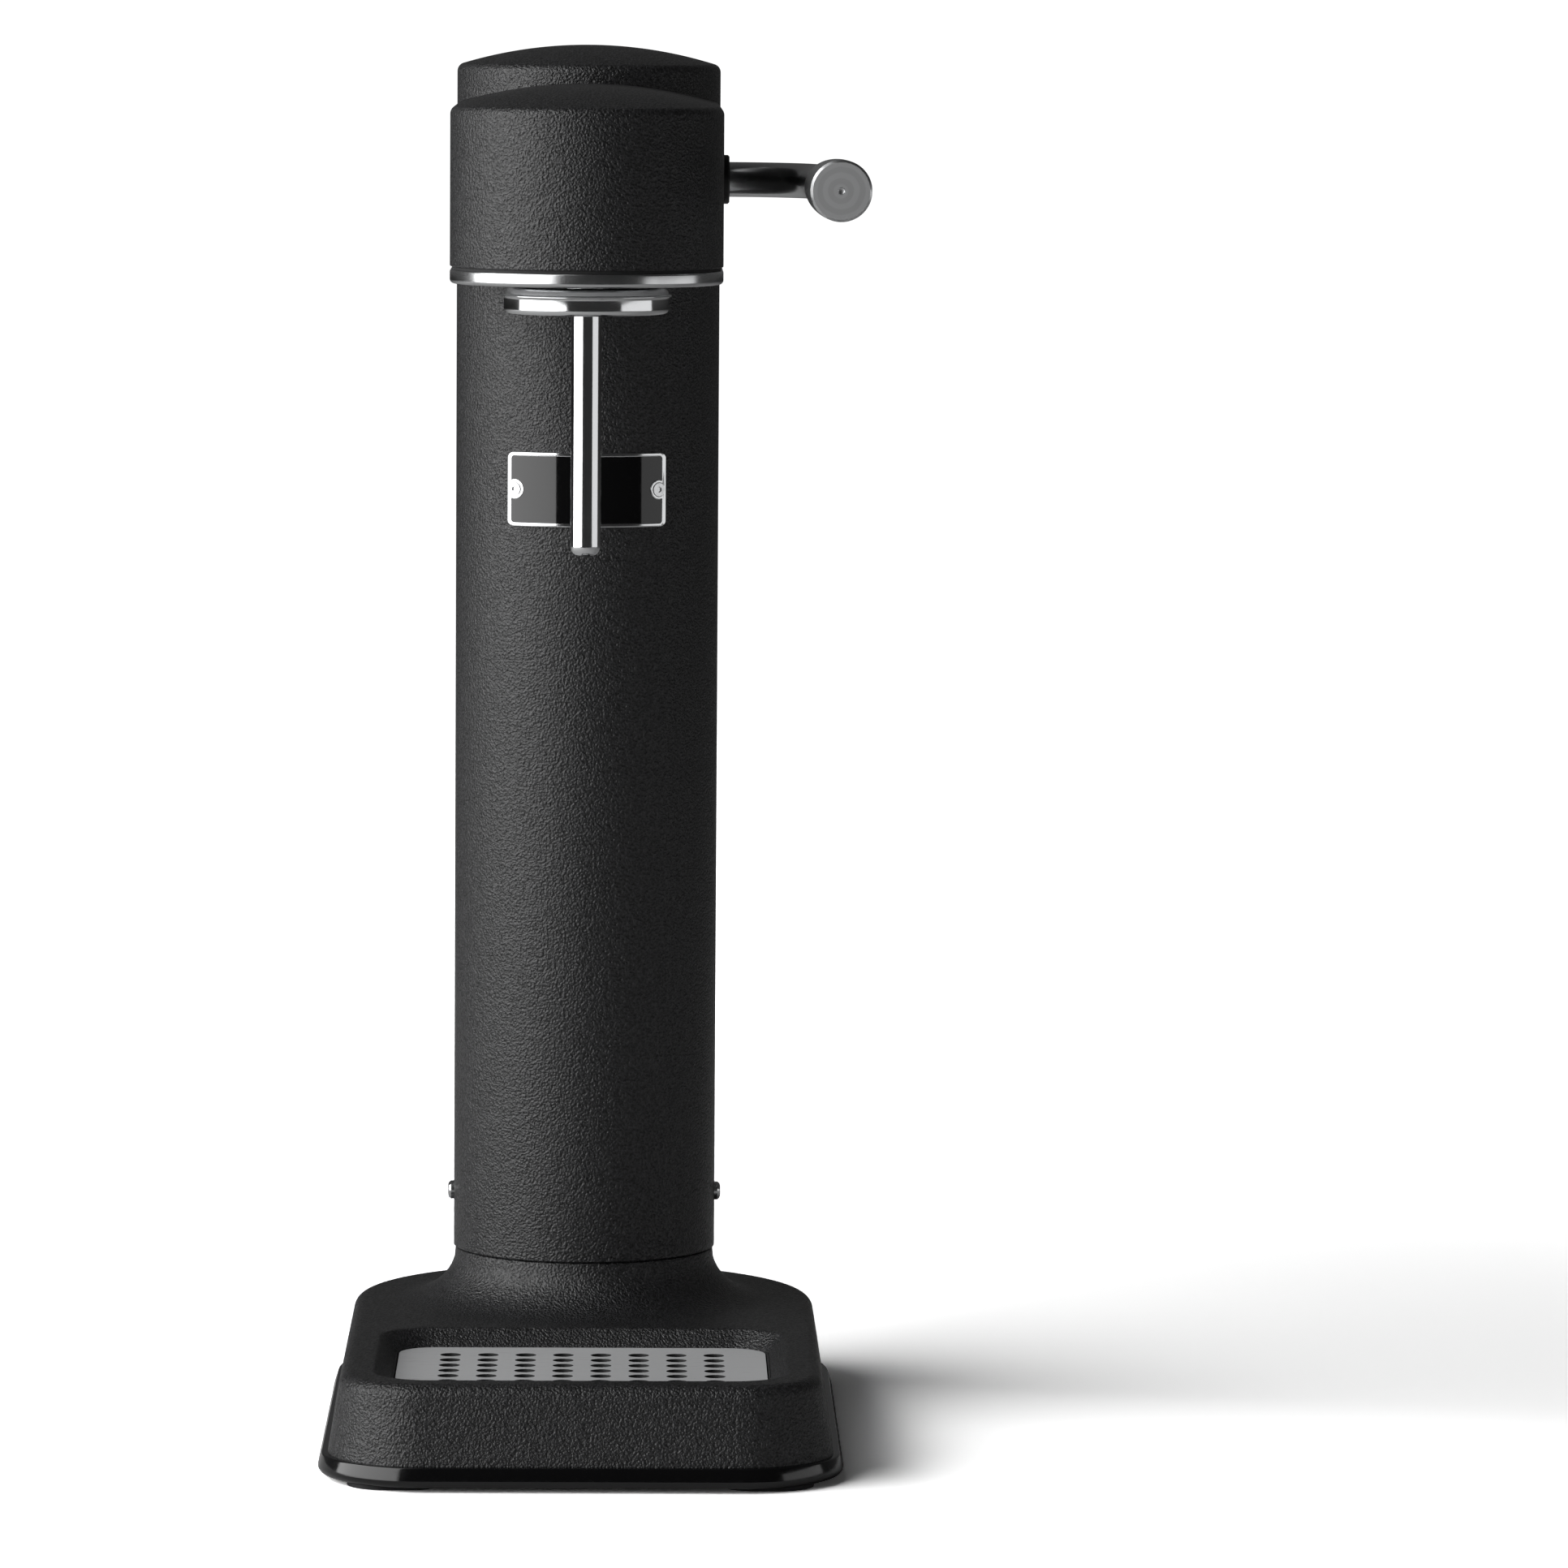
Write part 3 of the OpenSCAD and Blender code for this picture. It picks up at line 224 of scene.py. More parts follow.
def polished_steel(base, roughness, name):
    """Buffed 304 stainless: a mirror with the faint soft haze and waviness left by the polishing wheel."""
    material, tree, shader, place = finish(name, base, Metallic=1.0, Roughness=roughness)
    haze = add_node(tree, "ShaderNodeTexNoise", {"Scale": 1 / (9 * MM), "Detail": 3.0},
                    {"Vector": place}).outputs["Fac"]
    add_node(tree, "ShaderNodeMapRange", {**MIDDLE, "To Min": roughness * 0.85, "To Max": roughness * 1.2},
             {"Value": haze}, {"Result": shader.inputs["Roughness"]})
    add_node(tree, "ShaderNodeBump", {"Strength": 0.35, "Distance": 0.012 * MM},
             {"Height": haze}, {"Normal": shader.inputs["Normal"]})
    return material


def turned_steel(base, axis, name):
    """Turned stainless: fine tool rings around the turning axis pull reflections into soft bands."""
    material, tree, shader, place = finish(name, base, Metallic=1.0, Roughness=0.32)
    # 1.9 mm apart, coarser than a real turning mark, so that they show
    rings = add_node(tree, "ShaderNodeTexWave",
                     {"Scale": WAVE / (1.885 * MM), "Distortion": 0.6, "Detail": 2.0},
                     {"Vector": place}, wave_type="BANDS", bands_direction=axis).outputs["Fac"]
    add_node(tree, "ShaderNodeBump", {"Strength": 0.5, "Distance": 0.006 * MM},
             {"Height": rings}, {"Normal": shader.inputs["Normal"]})
    clouds = add_node(tree, "ShaderNodeTexNoise", {"Scale": 1 / (2.2 * MM), "Detail": 3.0},
                      {"Vector": place}).outputs["Fac"]
    add_node(tree, "ShaderNodeMapRange", {**MIDDLE, "To Min": 0.27, "To Max": 0.38},
             {"Value": clouds}, {"Result": shader.inputs["Roughness"]})
    return material


def faced_steel(base):
    """End of the grip as faced on the lathe: satin grey with concentric tool marks."""
    material, tree, shader, place = finish("Faced stainless", base, Metallic=1.0, Roughness=0.55)
    # 3.1 mm apart and broken up, coarser than real tool marks, so that they show
    centre = add_node(tree, "ShaderNodeMapping", {
        "Location": (GRIP_END_R - GRIP[1].x, 0, -LEVER_AXIS.z)}, {"Vector": place})
    rings = add_node(tree, "ShaderNodeTexWave",
                     {"Scale": WAVE / (3.1416 * MM), "Distortion": 1.5, "Detail": 2.0},
                     {"Vector": centre.outputs["Vector"]},
                     wave_type="RINGS", rings_direction="Y").outputs["Fac"]
    add_node(tree, "ShaderNodeBump", {"Strength": 0.6, "Distance": 0.01 * MM},
             {"Height": rings}, {"Normal": shader.inputs["Normal"]})
    add_node(tree, "ShaderNodeValToRGB", None, {"Fac": rings}, {"Color": shader.inputs["Base Color"]},
             ramp=((0.35, shade(base, 0.9)), (0.65, base)))
    return material


def hole_walls_painted_shade(base):
    """Walls of the punched holes: torn and dull, and coloured near black as painted shade inside the holes,
    dark beside the bright sheet.
    """
    material, tree, shader, place = finish("Punched hole walls", base, Metallic=0.6, Roughness=0.6)
    relief = add_node(tree, "ShaderNodeTexNoise", {"Scale": 1 / (0.3 * MM), "Detail": 2.0},
                      {"Vector": place}).outputs["Fac"]
    add_node(tree, "ShaderNodeBump", {"Strength": 0.5, "Distance": 0.02 * MM},
             {"Height": relief}, {"Normal": shader.inputs["Normal"]})
    return material


def perforated_steel(base):
    """Bead-blasted stainless sheet with faint grinding lines across its width: an even, bright satin grey."""
    material, tree, shader, place = finish("Perforated stainless sheet", base, Metallic=0.05, Roughness=0.34)
    stretched = add_node(tree, "ShaderNodeMapping", {"Scale": (0.03, 1, 1)}, {"Vector": place})
    lines = add_node(tree, "ShaderNodeTexNoise", {"Scale": 1 / (0.35 * MM), "Detail": 3.0},
                     {"Vector": stretched.outputs["Vector"]}).outputs["Fac"]
    add_node(tree, "ShaderNodeBump", {"Strength": 0.4, "Distance": 0.004 * MM},
             {"Height": lines}, {"Normal": shader.inputs["Normal"]})
    add_node(tree, "ShaderNodeMapRange", {**MIDDLE, "To Min": 0.27, "To Max": 0.38},
             {"Value": lines}, {"Result": shader.inputs["Roughness"]})
    return material


def gloss_black_abs(base):
    """Injection-moulded ABS from a polished tool: deep gloss with a trace of sink and very light scuffs."""
    material, tree, shader, place = finish("Gloss black ABS", base, Roughness=0.12, IOR=1.54)
    sink = add_node(tree, "ShaderNodeTexNoise", {"Scale": 1 / (14 * MM), "Detail": 2.0},
                    {"Vector": place}).outputs["Fac"]
    add_node(tree, "ShaderNodeBump", {"Strength": 0.25, "Distance": 0.02 * MM},
             {"Height": sink}, {"Normal": shader.inputs["Normal"]})
    clouds = add_node(tree, "ShaderNodeTexNoise", {"Scale": 1 / (1.6 * MM), "Detail": 4.0},
                      {"Vector": place}).outputs["Fac"]
    add_node(tree, "ShaderNodeMapRange", {**MIDDLE, "To Min": 0.09, "To Max": 0.17},
             {"Value": clouds}, {"Result": shader.inputs["Roughness"]})
    return material


def enamel_face(base):
    """Glossy baked enamel sunk inside the plate's border: clear reflections on near black."""
    material, tree, shader, place = finish("Gloss black enamel", base, Roughness=0.05, IOR=1.52)
    relief = add_node(tree, "ShaderNodeTexNoise", {"Scale": 1 / (6 * MM), "Detail": 2.0},
                      {"Vector": place}).outputs["Fac"]
    add_node(tree, "ShaderNodeBump", {"Strength": 0.2, "Distance": 0.01 * MM},
             {"Height": relief}, {"Normal": shader.inputs["Normal"]})
    clouds = add_node(tree, "ShaderNodeTexNoise", {"Scale": 1 / (1.2 * MM), "Detail": 3.0},
                      {"Vector": place}).outputs["Fac"]
    add_node(tree, "ShaderNodeMapRange", {**MIDDLE, "To Min": 0.035, "To Max": 0.08},
             {"Value": clouds}, {"Result": shader.inputs["Roughness"]})
    return material


def moulded_nylon(base):
    """Spark-eroded moulded nylon: an even matte grain about 0.3 mm across."""
    material, tree, shader, place = finish("Matte black nylon", base, Roughness=0.5, IOR=1.53)
    pits = add_node(tree, "ShaderNodeTexNoise", {"Scale": 1 / (0.3 * MM), "Detail": 2.0},
                    {"Vector": place}).outputs["Fac"]
    add_node(tree, "ShaderNodeBump", {"Strength": 0.6, "Distance": 0.02 * MM},
             {"Height": pits}, {"Normal": shader.inputs["Normal"]})
    add_node(tree, "ShaderNodeMapRange", {**MIDDLE, "To Min": 0.44, "To Max": 0.6},
             {"Value": pits}, {"Result": shader.inputs["Roughness"]})
    return material


def soft_rubber(base):
    """Moulded nitrile rubber: dull and dusty, with almost no highlight."""
    material, tree, shader, place = finish("Nitrile rubber", base, Roughness=0.75, IOR=1.5)
    dust = add_node(tree, "ShaderNodeTexNoise", {"Scale": 1 / (1.4 * MM), "Detail": 5.0},
                    {"Vector": place}).outputs["Fac"]
    add_node(tree, "ShaderNodeValToRGB", None, {"Fac": dust}, {"Color": shader.inputs["Base Color"]},
             ramp=((0.35, shade(base, 0.8)), (0.65, shade(base, 1.3))))
    relief = add_node(tree, "ShaderNodeTexNoise", {"Scale": 1 / (0.25 * MM), "Detail": 2.0},
                      {"Vector": place}).outputs["Fac"]
    add_node(tree, "ShaderNodeBump", {"Strength": 0.5, "Distance": 0.02 * MM},
             {"Height": relief}, {"Normal": shader.inputs["Normal"]})
    return material


def acetal_plastic(base):
    """Machined acetal: waxy white with fine turning marks."""
    material, tree, shader, place = finish("White acetal", base, Roughness=0.4, IOR=1.48)
    shader.inputs["Subsurface Weight"].default_value = 0.1
    shader.inputs["Subsurface Scale"].default_value = 2 * MM
    relief = add_node(tree, "ShaderNodeTexNoise", {"Scale": 1 / (0.3 * MM), "Detail": 2.0},
                      {"Vector": place}).outputs["Fac"]
    add_node(tree, "ShaderNodeBump", {"Strength": 0.4, "Distance": 0.01 * MM},
             {"Height": relief}, {"Normal": shader.inputs["Normal"]})
    return material


def machined_brass(base):
    """Machined brass: warm yellow metal, satin from the cutter and dulled a little where handled."""
    material, tree, shader, place = finish("Machined brass", base, Metallic=1.0, Roughness=0.28)
    dull = add_node(tree, "ShaderNodeTexNoise", {"Scale": 1 / (3.5 * MM), "Detail": 4.0},
                    {"Vector": place}).outputs["Fac"]
    add_node(tree, "ShaderNodeValToRGB", None, {"Fac": dull}, {"Color": shader.inputs["Base Color"]},
             ramp=((0.35, shade(base, 0.75)), (0.65, base)))
    relief = add_node(tree, "ShaderNodeTexNoise", {"Scale": 1 / (0.25 * MM), "Detail": 2.0},
                      {"Vector": place}).outputs["Fac"]
    add_node(tree, "ShaderNodeBump", {"Strength": 0.4, "Distance": 0.008 * MM},
             {"Height": relief}, {"Normal": shader.inputs["Normal"]})
    return material


def zinc_screws(base):
    """Bright zinc-plated screw steel: crisp highlights with slightly cloudy plating."""
    material, tree, shader, place = finish("Bright plated screws", base, Metallic=1.0, Roughness=0.18)
    cloud = add_node(tree, "ShaderNodeTexNoise", {"Scale": 1 / (0.8 * MM), "Detail": 3.0},
                     {"Vector": place}).outputs["Fac"]
    add_node(tree, "ShaderNodeMapRange", {**MIDDLE, "To Min": 0.13, "To Max": 0.26},
             {"Value": cloud}, {"Result": shader.inputs["Roughness"]})
    add_node(tree, "ShaderNodeBump", {"Strength": 0.3, "Distance": 0.006 * MM},
             {"Height": cloud}, {"Normal": shader.inputs["Normal"]})
    return material


def rolled_sheet(base):
    """Cold-rolled galvanised sheet: grey and softly streaked along the rolling direction."""
    material, tree, shader, place = finish("Cold rolled sheet", base, Metallic=1.0, Roughness=0.4)
    stretched = add_node(tree, "ShaderNodeMapping", {"Scale": (1, 0.08, 1)}, {"Vector": place})
    streaks = add_node(tree, "ShaderNodeTexNoise", {"Scale": 1 / (0.6 * MM), "Detail": 3.0},
                       {"Vector": stretched.outputs["Vector"]}).outputs["Fac"]
    add_node(tree, "ShaderNodeValToRGB", None, {"Fac": streaks}, {"Color": shader.inputs["Base Color"]},
             ramp=((0.35, shade(base, 0.8)), (0.65, base)))
    add_node(tree, "ShaderNodeBump", {"Strength": 0.4, "Distance": 0.01 * MM},
             {"Height": streaks}, {"Normal": shader.inputs["Normal"]})
    return material


def spun_aluminium(base):
    """Bare drawn aluminium cylinder: satin, with faint rings from spinning, drawn 5.7 mm apart to show."""
    material, tree, shader, place = finish("Spun aluminium", base, Metallic=1.0, Roughness=0.36)
    rings = add_node(tree, "ShaderNodeTexWave",
                     {"Scale": WAVE / (5.6549 * MM), "Distortion": 1.0, "Detail": 2.0},
                     {"Vector": place}, wave_type="BANDS", bands_direction="Z").outputs["Fac"]
    add_node(tree, "ShaderNodeBump", {"Strength": 0.3, "Distance": 0.01 * MM},
             {"Height": rings}, {"Normal": shader.inputs["Normal"]})
    clouds = add_node(tree, "ShaderNodeTexNoise", {"Scale": 1 / (4 * MM), "Detail": 3.0},
                      {"Vector": place}).outputs["Fac"]
    add_node(tree, "ShaderNodeMapRange", {**MIDDLE, "To Min": 0.3, "To Max": 0.45},
             {"Value": clouds}, {"Result": shader.inputs["Roughness"]})
    return material


# Material slot of the record: name of its material here
SLOT_FINISH = {
    "powder_black": "Fine texture powder coat",
    "polished_steel": "Mirror polished stainless",
    "turned_steel": "Turned stainless",
    "grille_steel": "Perforated stainless sheet",
    "gloss_black": "Gloss black ABS",
    "black_plastic": "Matte black nylon",
    "black_rubber": "Nitrile rubber",
    "white_plastic": "White acetal",
    "brass": "Machined brass",
    "screw_steel": "Bright plated screws",
    "sheet_steel": "Cold rolled sheet",
    "cylinder_aluminium": "Spun aluminium",
}
SLOT_OF = {row["node"]: row["material_slot"] for row in frame["record"]["subparts"]}


def make_finishes(colours):
    textured_powder_coat(colours.coat)
    polished_steel(colours.steel, 0.11, "Mirror polished stainless")
    polished_steel(shade(colours.steel, 0.85), 0.22, "Satin polished stainless")
    turned_steel(shade(colours.steel, 0.85), "Z", "Turned stainless")
    turned_steel(shade(colours.steel, 0.85), "Y", "Turned stainless grip")
    faced_steel(shade(colours.steel, 0.85))
    perforated_steel(shade(colours.steel, 0.9))
    # near-black hole walls: painted shade inside the grille's holes
    hole_walls_painted_shade(shade(colours.steel, 0.05))
    gloss_black_abs(colours.gloss)
    enamel_face(colours.gloss)
    moulded_nylon(colours.plastic)
    soft_rubber(colours.rubber)
    acetal_plastic(colours.acetal)
    machined_brass(colours.brass)
    zinc_screws(shade(colours.steel, 0.9))
    rolled_sheet(shade(colours.steel, 0.6))
    spun_aluminium(colours.aluminium)


# ---- mesh helpers ----

SHARP = math.radians(32)


def arc(centre_r, centre_z, radius, start, end, steps):
    """Points of an arc in a profile's plane. Angles are in degrees, from outward to up."""
    angles = [math.radians(start + (end - start) * i / steps) for i in range(steps + 1)]
    return [(centre_r + radius * math.cos(a), centre_z + radius * math.sin(a)) for a in angles]


def draw(bm, points, closed=False):
    """Joined edges through points, as the geometry that spin and extrude take."""
    verts = [bm.verts.new(p) for p in points]
    pairs = list(zip(verts, verts[1:])) + ([(verts[-1], verts[0])] if closed else [])
    return verts + [bm.edges.new(pair) for pair in pairs]


def spin(bm, geom, centre, degrees, steps, axis=(0, 0, 1)):
    """Turns a profile about an axis and returns its last copy."""
    result = bmesh.ops.spin(bm, geom=geom, cent=centre, axis=axis, dvec=(0, 0, 0),
                            angle=math.radians(degrees), steps=steps, use_merge=abs(degrees) == 360,
                            use_normal_flip=False, use_duplicate=False)
    return result["geom_last"]


def slide(bm, geom, move):
    """Extrudes a profile's edges along a straight move and returns its last copy."""
    edges = [g for g in geom if isinstance(g, bmesh.types.BMEdge)]
    new = bmesh.ops.extrude_edge_only(bm, edges=edges)["geom"]
    verts = [g for g in new if isinstance(g, bmesh.types.BMVert)]
    bmesh.ops.translate(bm, verts=verts, vec=move)
    fresh = set(verts)
    return verts + [g for g in new if isinstance(g, bmesh.types.BMEdge) and fresh.issuperset(g.verts)]


def close_up(bm):
    """Merges doubled points, which also closes the poles of turned shapes."""
    bmesh.ops.remove_doubles(bm, verts=bm.verts, dist=0.002 * MM)


def cap(bm, test):
    """Fills the flat region bounded by the open edges whose ends all pass a test."""
    rim = [e for e in bm.edges if e.is_boundary and all(test(v.co) for v in e.verts)]
    bmesh.ops.triangle_fill(bm, use_beauty=True, use_dissolve=False, edges=rim)


def keep(name, bm, body, slot, nodes=(), material=None, sharp=SHARP):
    """Turns a bmesh into a finished piece that replaces CAD nodes. body is the body that it rides on, or
    for a spring the bodies at its two ends and the places of those ends."""
    close_up(bm)
    bmesh.ops.recalc_face_normals(bm, faces=bm.faces)
    for face in bm.faces:
        face.smooth = True
    for edge in bm.edges:
        edge.smooth = edge.calc_face_angle(0) < sharp
    mesh = bpy.data.meshes.new(name)
    bm.to_mesh(mesh)
    bm.free()
    mesh.materials.append(bpy.data.materials[material or SLOT_FINISH[slot]])
    piece = bpy.data.objects.new(name, mesh)
    bpy.context.scene.collection.objects.link(piece)
    if isinstance(body, str):
        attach(piece, body)
    else:
        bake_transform(piece)
    if nodes:
        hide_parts(*nodes)
    return piece


def turned(profile, centre=(0, 0, 0), steps=128, bm=None):
    """A full turn of a closed or axis-to-axis profile of radius and height about a vertical axis."""
    bm = bm or bmesh.new()
    x, y, z = centre
    spin(bm, draw(bm, [(x + r, y, z + h) for r, h in profile]), centre, 360, steps)
    close_up(bm)
    return bm


def lay_down(bm, centre, direction):
    """Moves a shape turned about Z at the origin so that its axis runs through centre along direction."""
    turn = Vector((0, 0, 1)).rotation_difference(Vector(direction)).to_matrix().to_4x4()
    bmesh.ops.transform(bm, matrix=Matrix.Translation(centre) @ turn, verts=bm.verts)


def body_of(node):
    return frame["nodes"][node]["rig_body"]


# ---- column and head ----

def drum(radius, low, high, dome_r, edge_r):
    """Half section of a drum with a shallow dome, from the axis down to its lower rim."""
    centre_z = high - dome_r
    reach = dome_r - edge_r
    run = radius - edge_r
    tilt = math.degrees(math.acos(run / reach))
    edge_z = centre_z + reach * math.sin(math.radians(tilt))
    return arc(0, centre_z, dome_r, 90, tilt, 20) + arc(run, edge_z, edge_r, tilt, 0, 8)[1:] + [(radius, low)]


def casing_section(radius, low, high, sizes):
    """Closed section of a drum's sheet, outside then inside, with a small break on the lower rim."""
    rim = 0.25 * MM
    outer = drum(radius, low + rim, high, sizes.dome_r, sizes.dome_edge_r)
    inner = drum(radius - sizes.sheet, low, high - sizes.sheet,
                 sizes.dome_r - sizes.sheet, sizes.dome_edge_r - sizes.sheet)
    return outer + [(radius - rim, low)] + inner[::-1]


def make_column(sizes):
    """Column tube with its shallow dome."""
    section = casing_section(COLUMN_R, COLUMN[0].z, COLUMN[1].z, sizes)
    keep("column_casing", turned(section, steps=160), "machine", "powder_black", ["column_tube"])


def make_head(sizes):
    """Head cover: a domed drum about the nozzle, with straight sides running back to the column."""
    bm = bmesh.new()
    centre = (0, HEAD_AXIS_Y, 0)
    section = casing_section(COLUMN_R, HEAD[0].z, HEAD[1].z, sizes)
    start = draw(bm, [(r, HEAD_AXIS_Y, z) for r, z in section])
    back = Vector((0, HEAD[1].y - HEAD_AXIS_Y, 0))
    end = spin(bm, start, centre, -180, 80)
    slide(bm, end, back)
    slide(bm, start, back)
    close_up(bm)
    cap(bm, lambda p: abs(p.y - HEAD[1].y) < NEAR)
    keep("head_casing", bm, "machine", "powder_black", ["head_cover"])


def under_head(name, profile, slot, nodes, material=None):
    """A plate with the head's outline, from a half turn and straight sides to the column."""
    bm = bmesh.new()
    centre = (0, HEAD_AXIS_Y, 0)
    start = draw(bm, [(r, HEAD_AXIS_Y, z) for r, z in profile])
    end = spin(bm, start, centre, -180, 96)
    move = Vector((0, HEAD_PLATE_BACK - HEAD_AXIS_Y, 0))
    slide(bm, end, move)
    slide(bm, start, move)
    close_up(bm)
    cap(bm, lambda p: abs(p.y - HEAD_PLATE_BACK) < NEAR)
    keep(name, bm, "machine", slot, nodes, material)


def make_head_plates():
    """Black gasket and the thick polished plate under the head."""
    low, high = GASKET[0].z, GASKET[1].z
    radius = GASKET[1].x
    under_head("head_seam_gasket", [(0, high), (radius, high), (radius, low), (0, low)],
               "black_rubber", ["head_gasket"])
    low, high = UNDERPLATE[0].z, UNDERPLATE[1].z
    radius = UNDERPLATE[1].x
    lower_r, upper_r = 1.3 * MM, 0.8 * MM
    profile = ([(0, high)] + arc(radius - upper_r, high - upper_r, upper_r, 90, 0, 8)
               + arc(radius - lower_r, low + lower_r, lower_r, 0, -90, 12) + [(0, low)])
    under_head("head_polished_plate", profile, "polished_steel", ["head_underplate"],
               "Satin polished stainless")


# ---- bottle holder and nozzle ----

def make_holder():
    """Bottle holder: a shallow polished cup, open below, with a thin out-turned lip and three lugs."""
    top, bottom = HOLDER[1].z, HOLDER[0].z
    lip_r = HOLDER[1].x
    wall_r = lip_r - 0.8 * MM
    lip_z = top - 2.6 * MM
    bore = wall_r - 2.3 * MM
    hole = NOZZLE[1].x + TUBE_GAP
    inside = top - 2.2 * MM
    section = ([(hole, top), (wall_r - 2.6 * MM, top)]
               + arc(wall_r - 2.6 * MM, top - 2.6 * MM, 2.6 * MM, 80, 12, 6)
               + arc(lip_r - 0.35 * MM, lip_z, 0.35 * MM, 60, -90, 5)
               + arc(wall_r + 0.5 * MM, lip_z - 0.85 * MM, 0.5 * MM, 90, 180, 4)
               + arc(wall_r - 1.7 * MM, bottom + 1.7 * MM, 1.7 * MM, 0, -90, 8)
               + arc(bore + 0.3 * MM, bottom + 0.3 * MM, 0.3 * MM, -90, -180, 3)
               + arc(bore - 0.8 * MM, inside - 0.8 * MM, 0.8 * MM, 0, 90, 4)
               + [(hole, inside), (hole, top)])
    bm = turned(section, (0, HEAD_AXIS_Y, 0), 128)
    lug_low, lug_high = bottom + 0.6 * MM, bottom + 2.2 * MM
    for angle in (30, 150, 270):
        turn = Matrix.Rotation(math.radians(angle - 12), 3, "Z")
        profile = [(bore - 1.6 * MM, lug_low), (bore + 0.3 * MM, lug_low), (bore + 0.3 * MM, lug_high),
                   (bore - 1.6 * MM, lug_high)]
        lug = bmesh.new()
        geom = draw(lug, [turn @ Vector((r, 0, z)) for r, z in profile], closed=True)
        bmesh.ops.contextual_create(lug, geom=geom)
        spin(lug, lug.verts[:] + lug.edges[:] + lug.faces[:], (0, 0, 0), 24, 8)
        bmesh.ops.translate(lug, verts=lug.verts, vec=(0, HEAD_AXIS_Y, 0))
        add_mesh(bm, lug)
    keep("holder_cup", bm, "machine", "polished_steel", ["bottle_holder"])
    radius = HUB[1].x
    hub = [(hole, HUB[1].z), (radius, HUB[1].z), (radius, HUB[0].z), (hole, HUB[0].z), (hole, HUB[1].z)]
    keep("holder_neck", turned(hub, (0, HEAD_AXIS_Y, 0), 64), "machine", "polished_steel", ["holder_hub"])


def paint(piece, material, test):
    """Gives the faces whose normals pass a test another finish."""
    piece.data.materials.append(bpy.data.materials[material])
    for face in piece.data.polygons:
        if test(face.normal):
            face.material_index = len(piece.data.materials) - 1


def add_mesh(bm, other):
    """Copies one bmesh into another."""
    mesh = bpy.data.meshes.new("part")
    other.to_mesh(mesh)
    other.free()
    bm.from_mesh(mesh)
    bpy.data.meshes.remove(mesh)


def make_nozzle():
    """Carbonating nozzle: a polished tube with a rounded tip. Its jet is a smooth copy."""
    radius = NOZZLE[1].x
    tip, top = NOZZLE[0].z, NOZZLE[1].z
    nose = 2.4 * MM
    height = 3 * MM
    curve = [(radius - nose + nose * math.sin(a), tip + height * (1 - math.cos(a)))
             for a in (math.radians(degrees) for degrees in range(0, 91, 9))]
    section = [(0, tip)] + curve + [(radius, top - 0.3 * MM), (radius - 0.3 * MM, top), (0, top)]
    keep("nozzle_polished_tube", turned(section, (0, HEAD_AXIS_Y, 0), 64), "machine", "polished_steel",
         ["nozzle_tube"])


# ---- lever ----

def grip_frame(sizes):
    """Start of the straight run after the bend, and the direction of the grip."""
    angle = sizes.lever_splay
    straight = Vector((math.sin(angle), -math.cos(angle), 0))
    side = Vector((math.cos(angle), math.sin(angle), 0))
    centre = Vector((bend_x(sizes), -sizes.bend_r, LEVER_AXIS.z))
    return centre + side * sizes.bend_r, straight


def bend_x(sizes):
    """Where the rod's bend starts, from the far end of the grip."""
    angle = sizes.lever_splay
    reach = -GRIP[0].y - sizes.bend_r - GRIP_END_R * math.sin(angle)
    run = (reach + sizes.bend_r * math.sin(angle)) / math.cos(angle)
    tip = GRIP[1].x - GRIP_END_R * math.cos(angle)
    return tip - sizes.bend_r * math.cos(angle) - run * math.sin(angle)


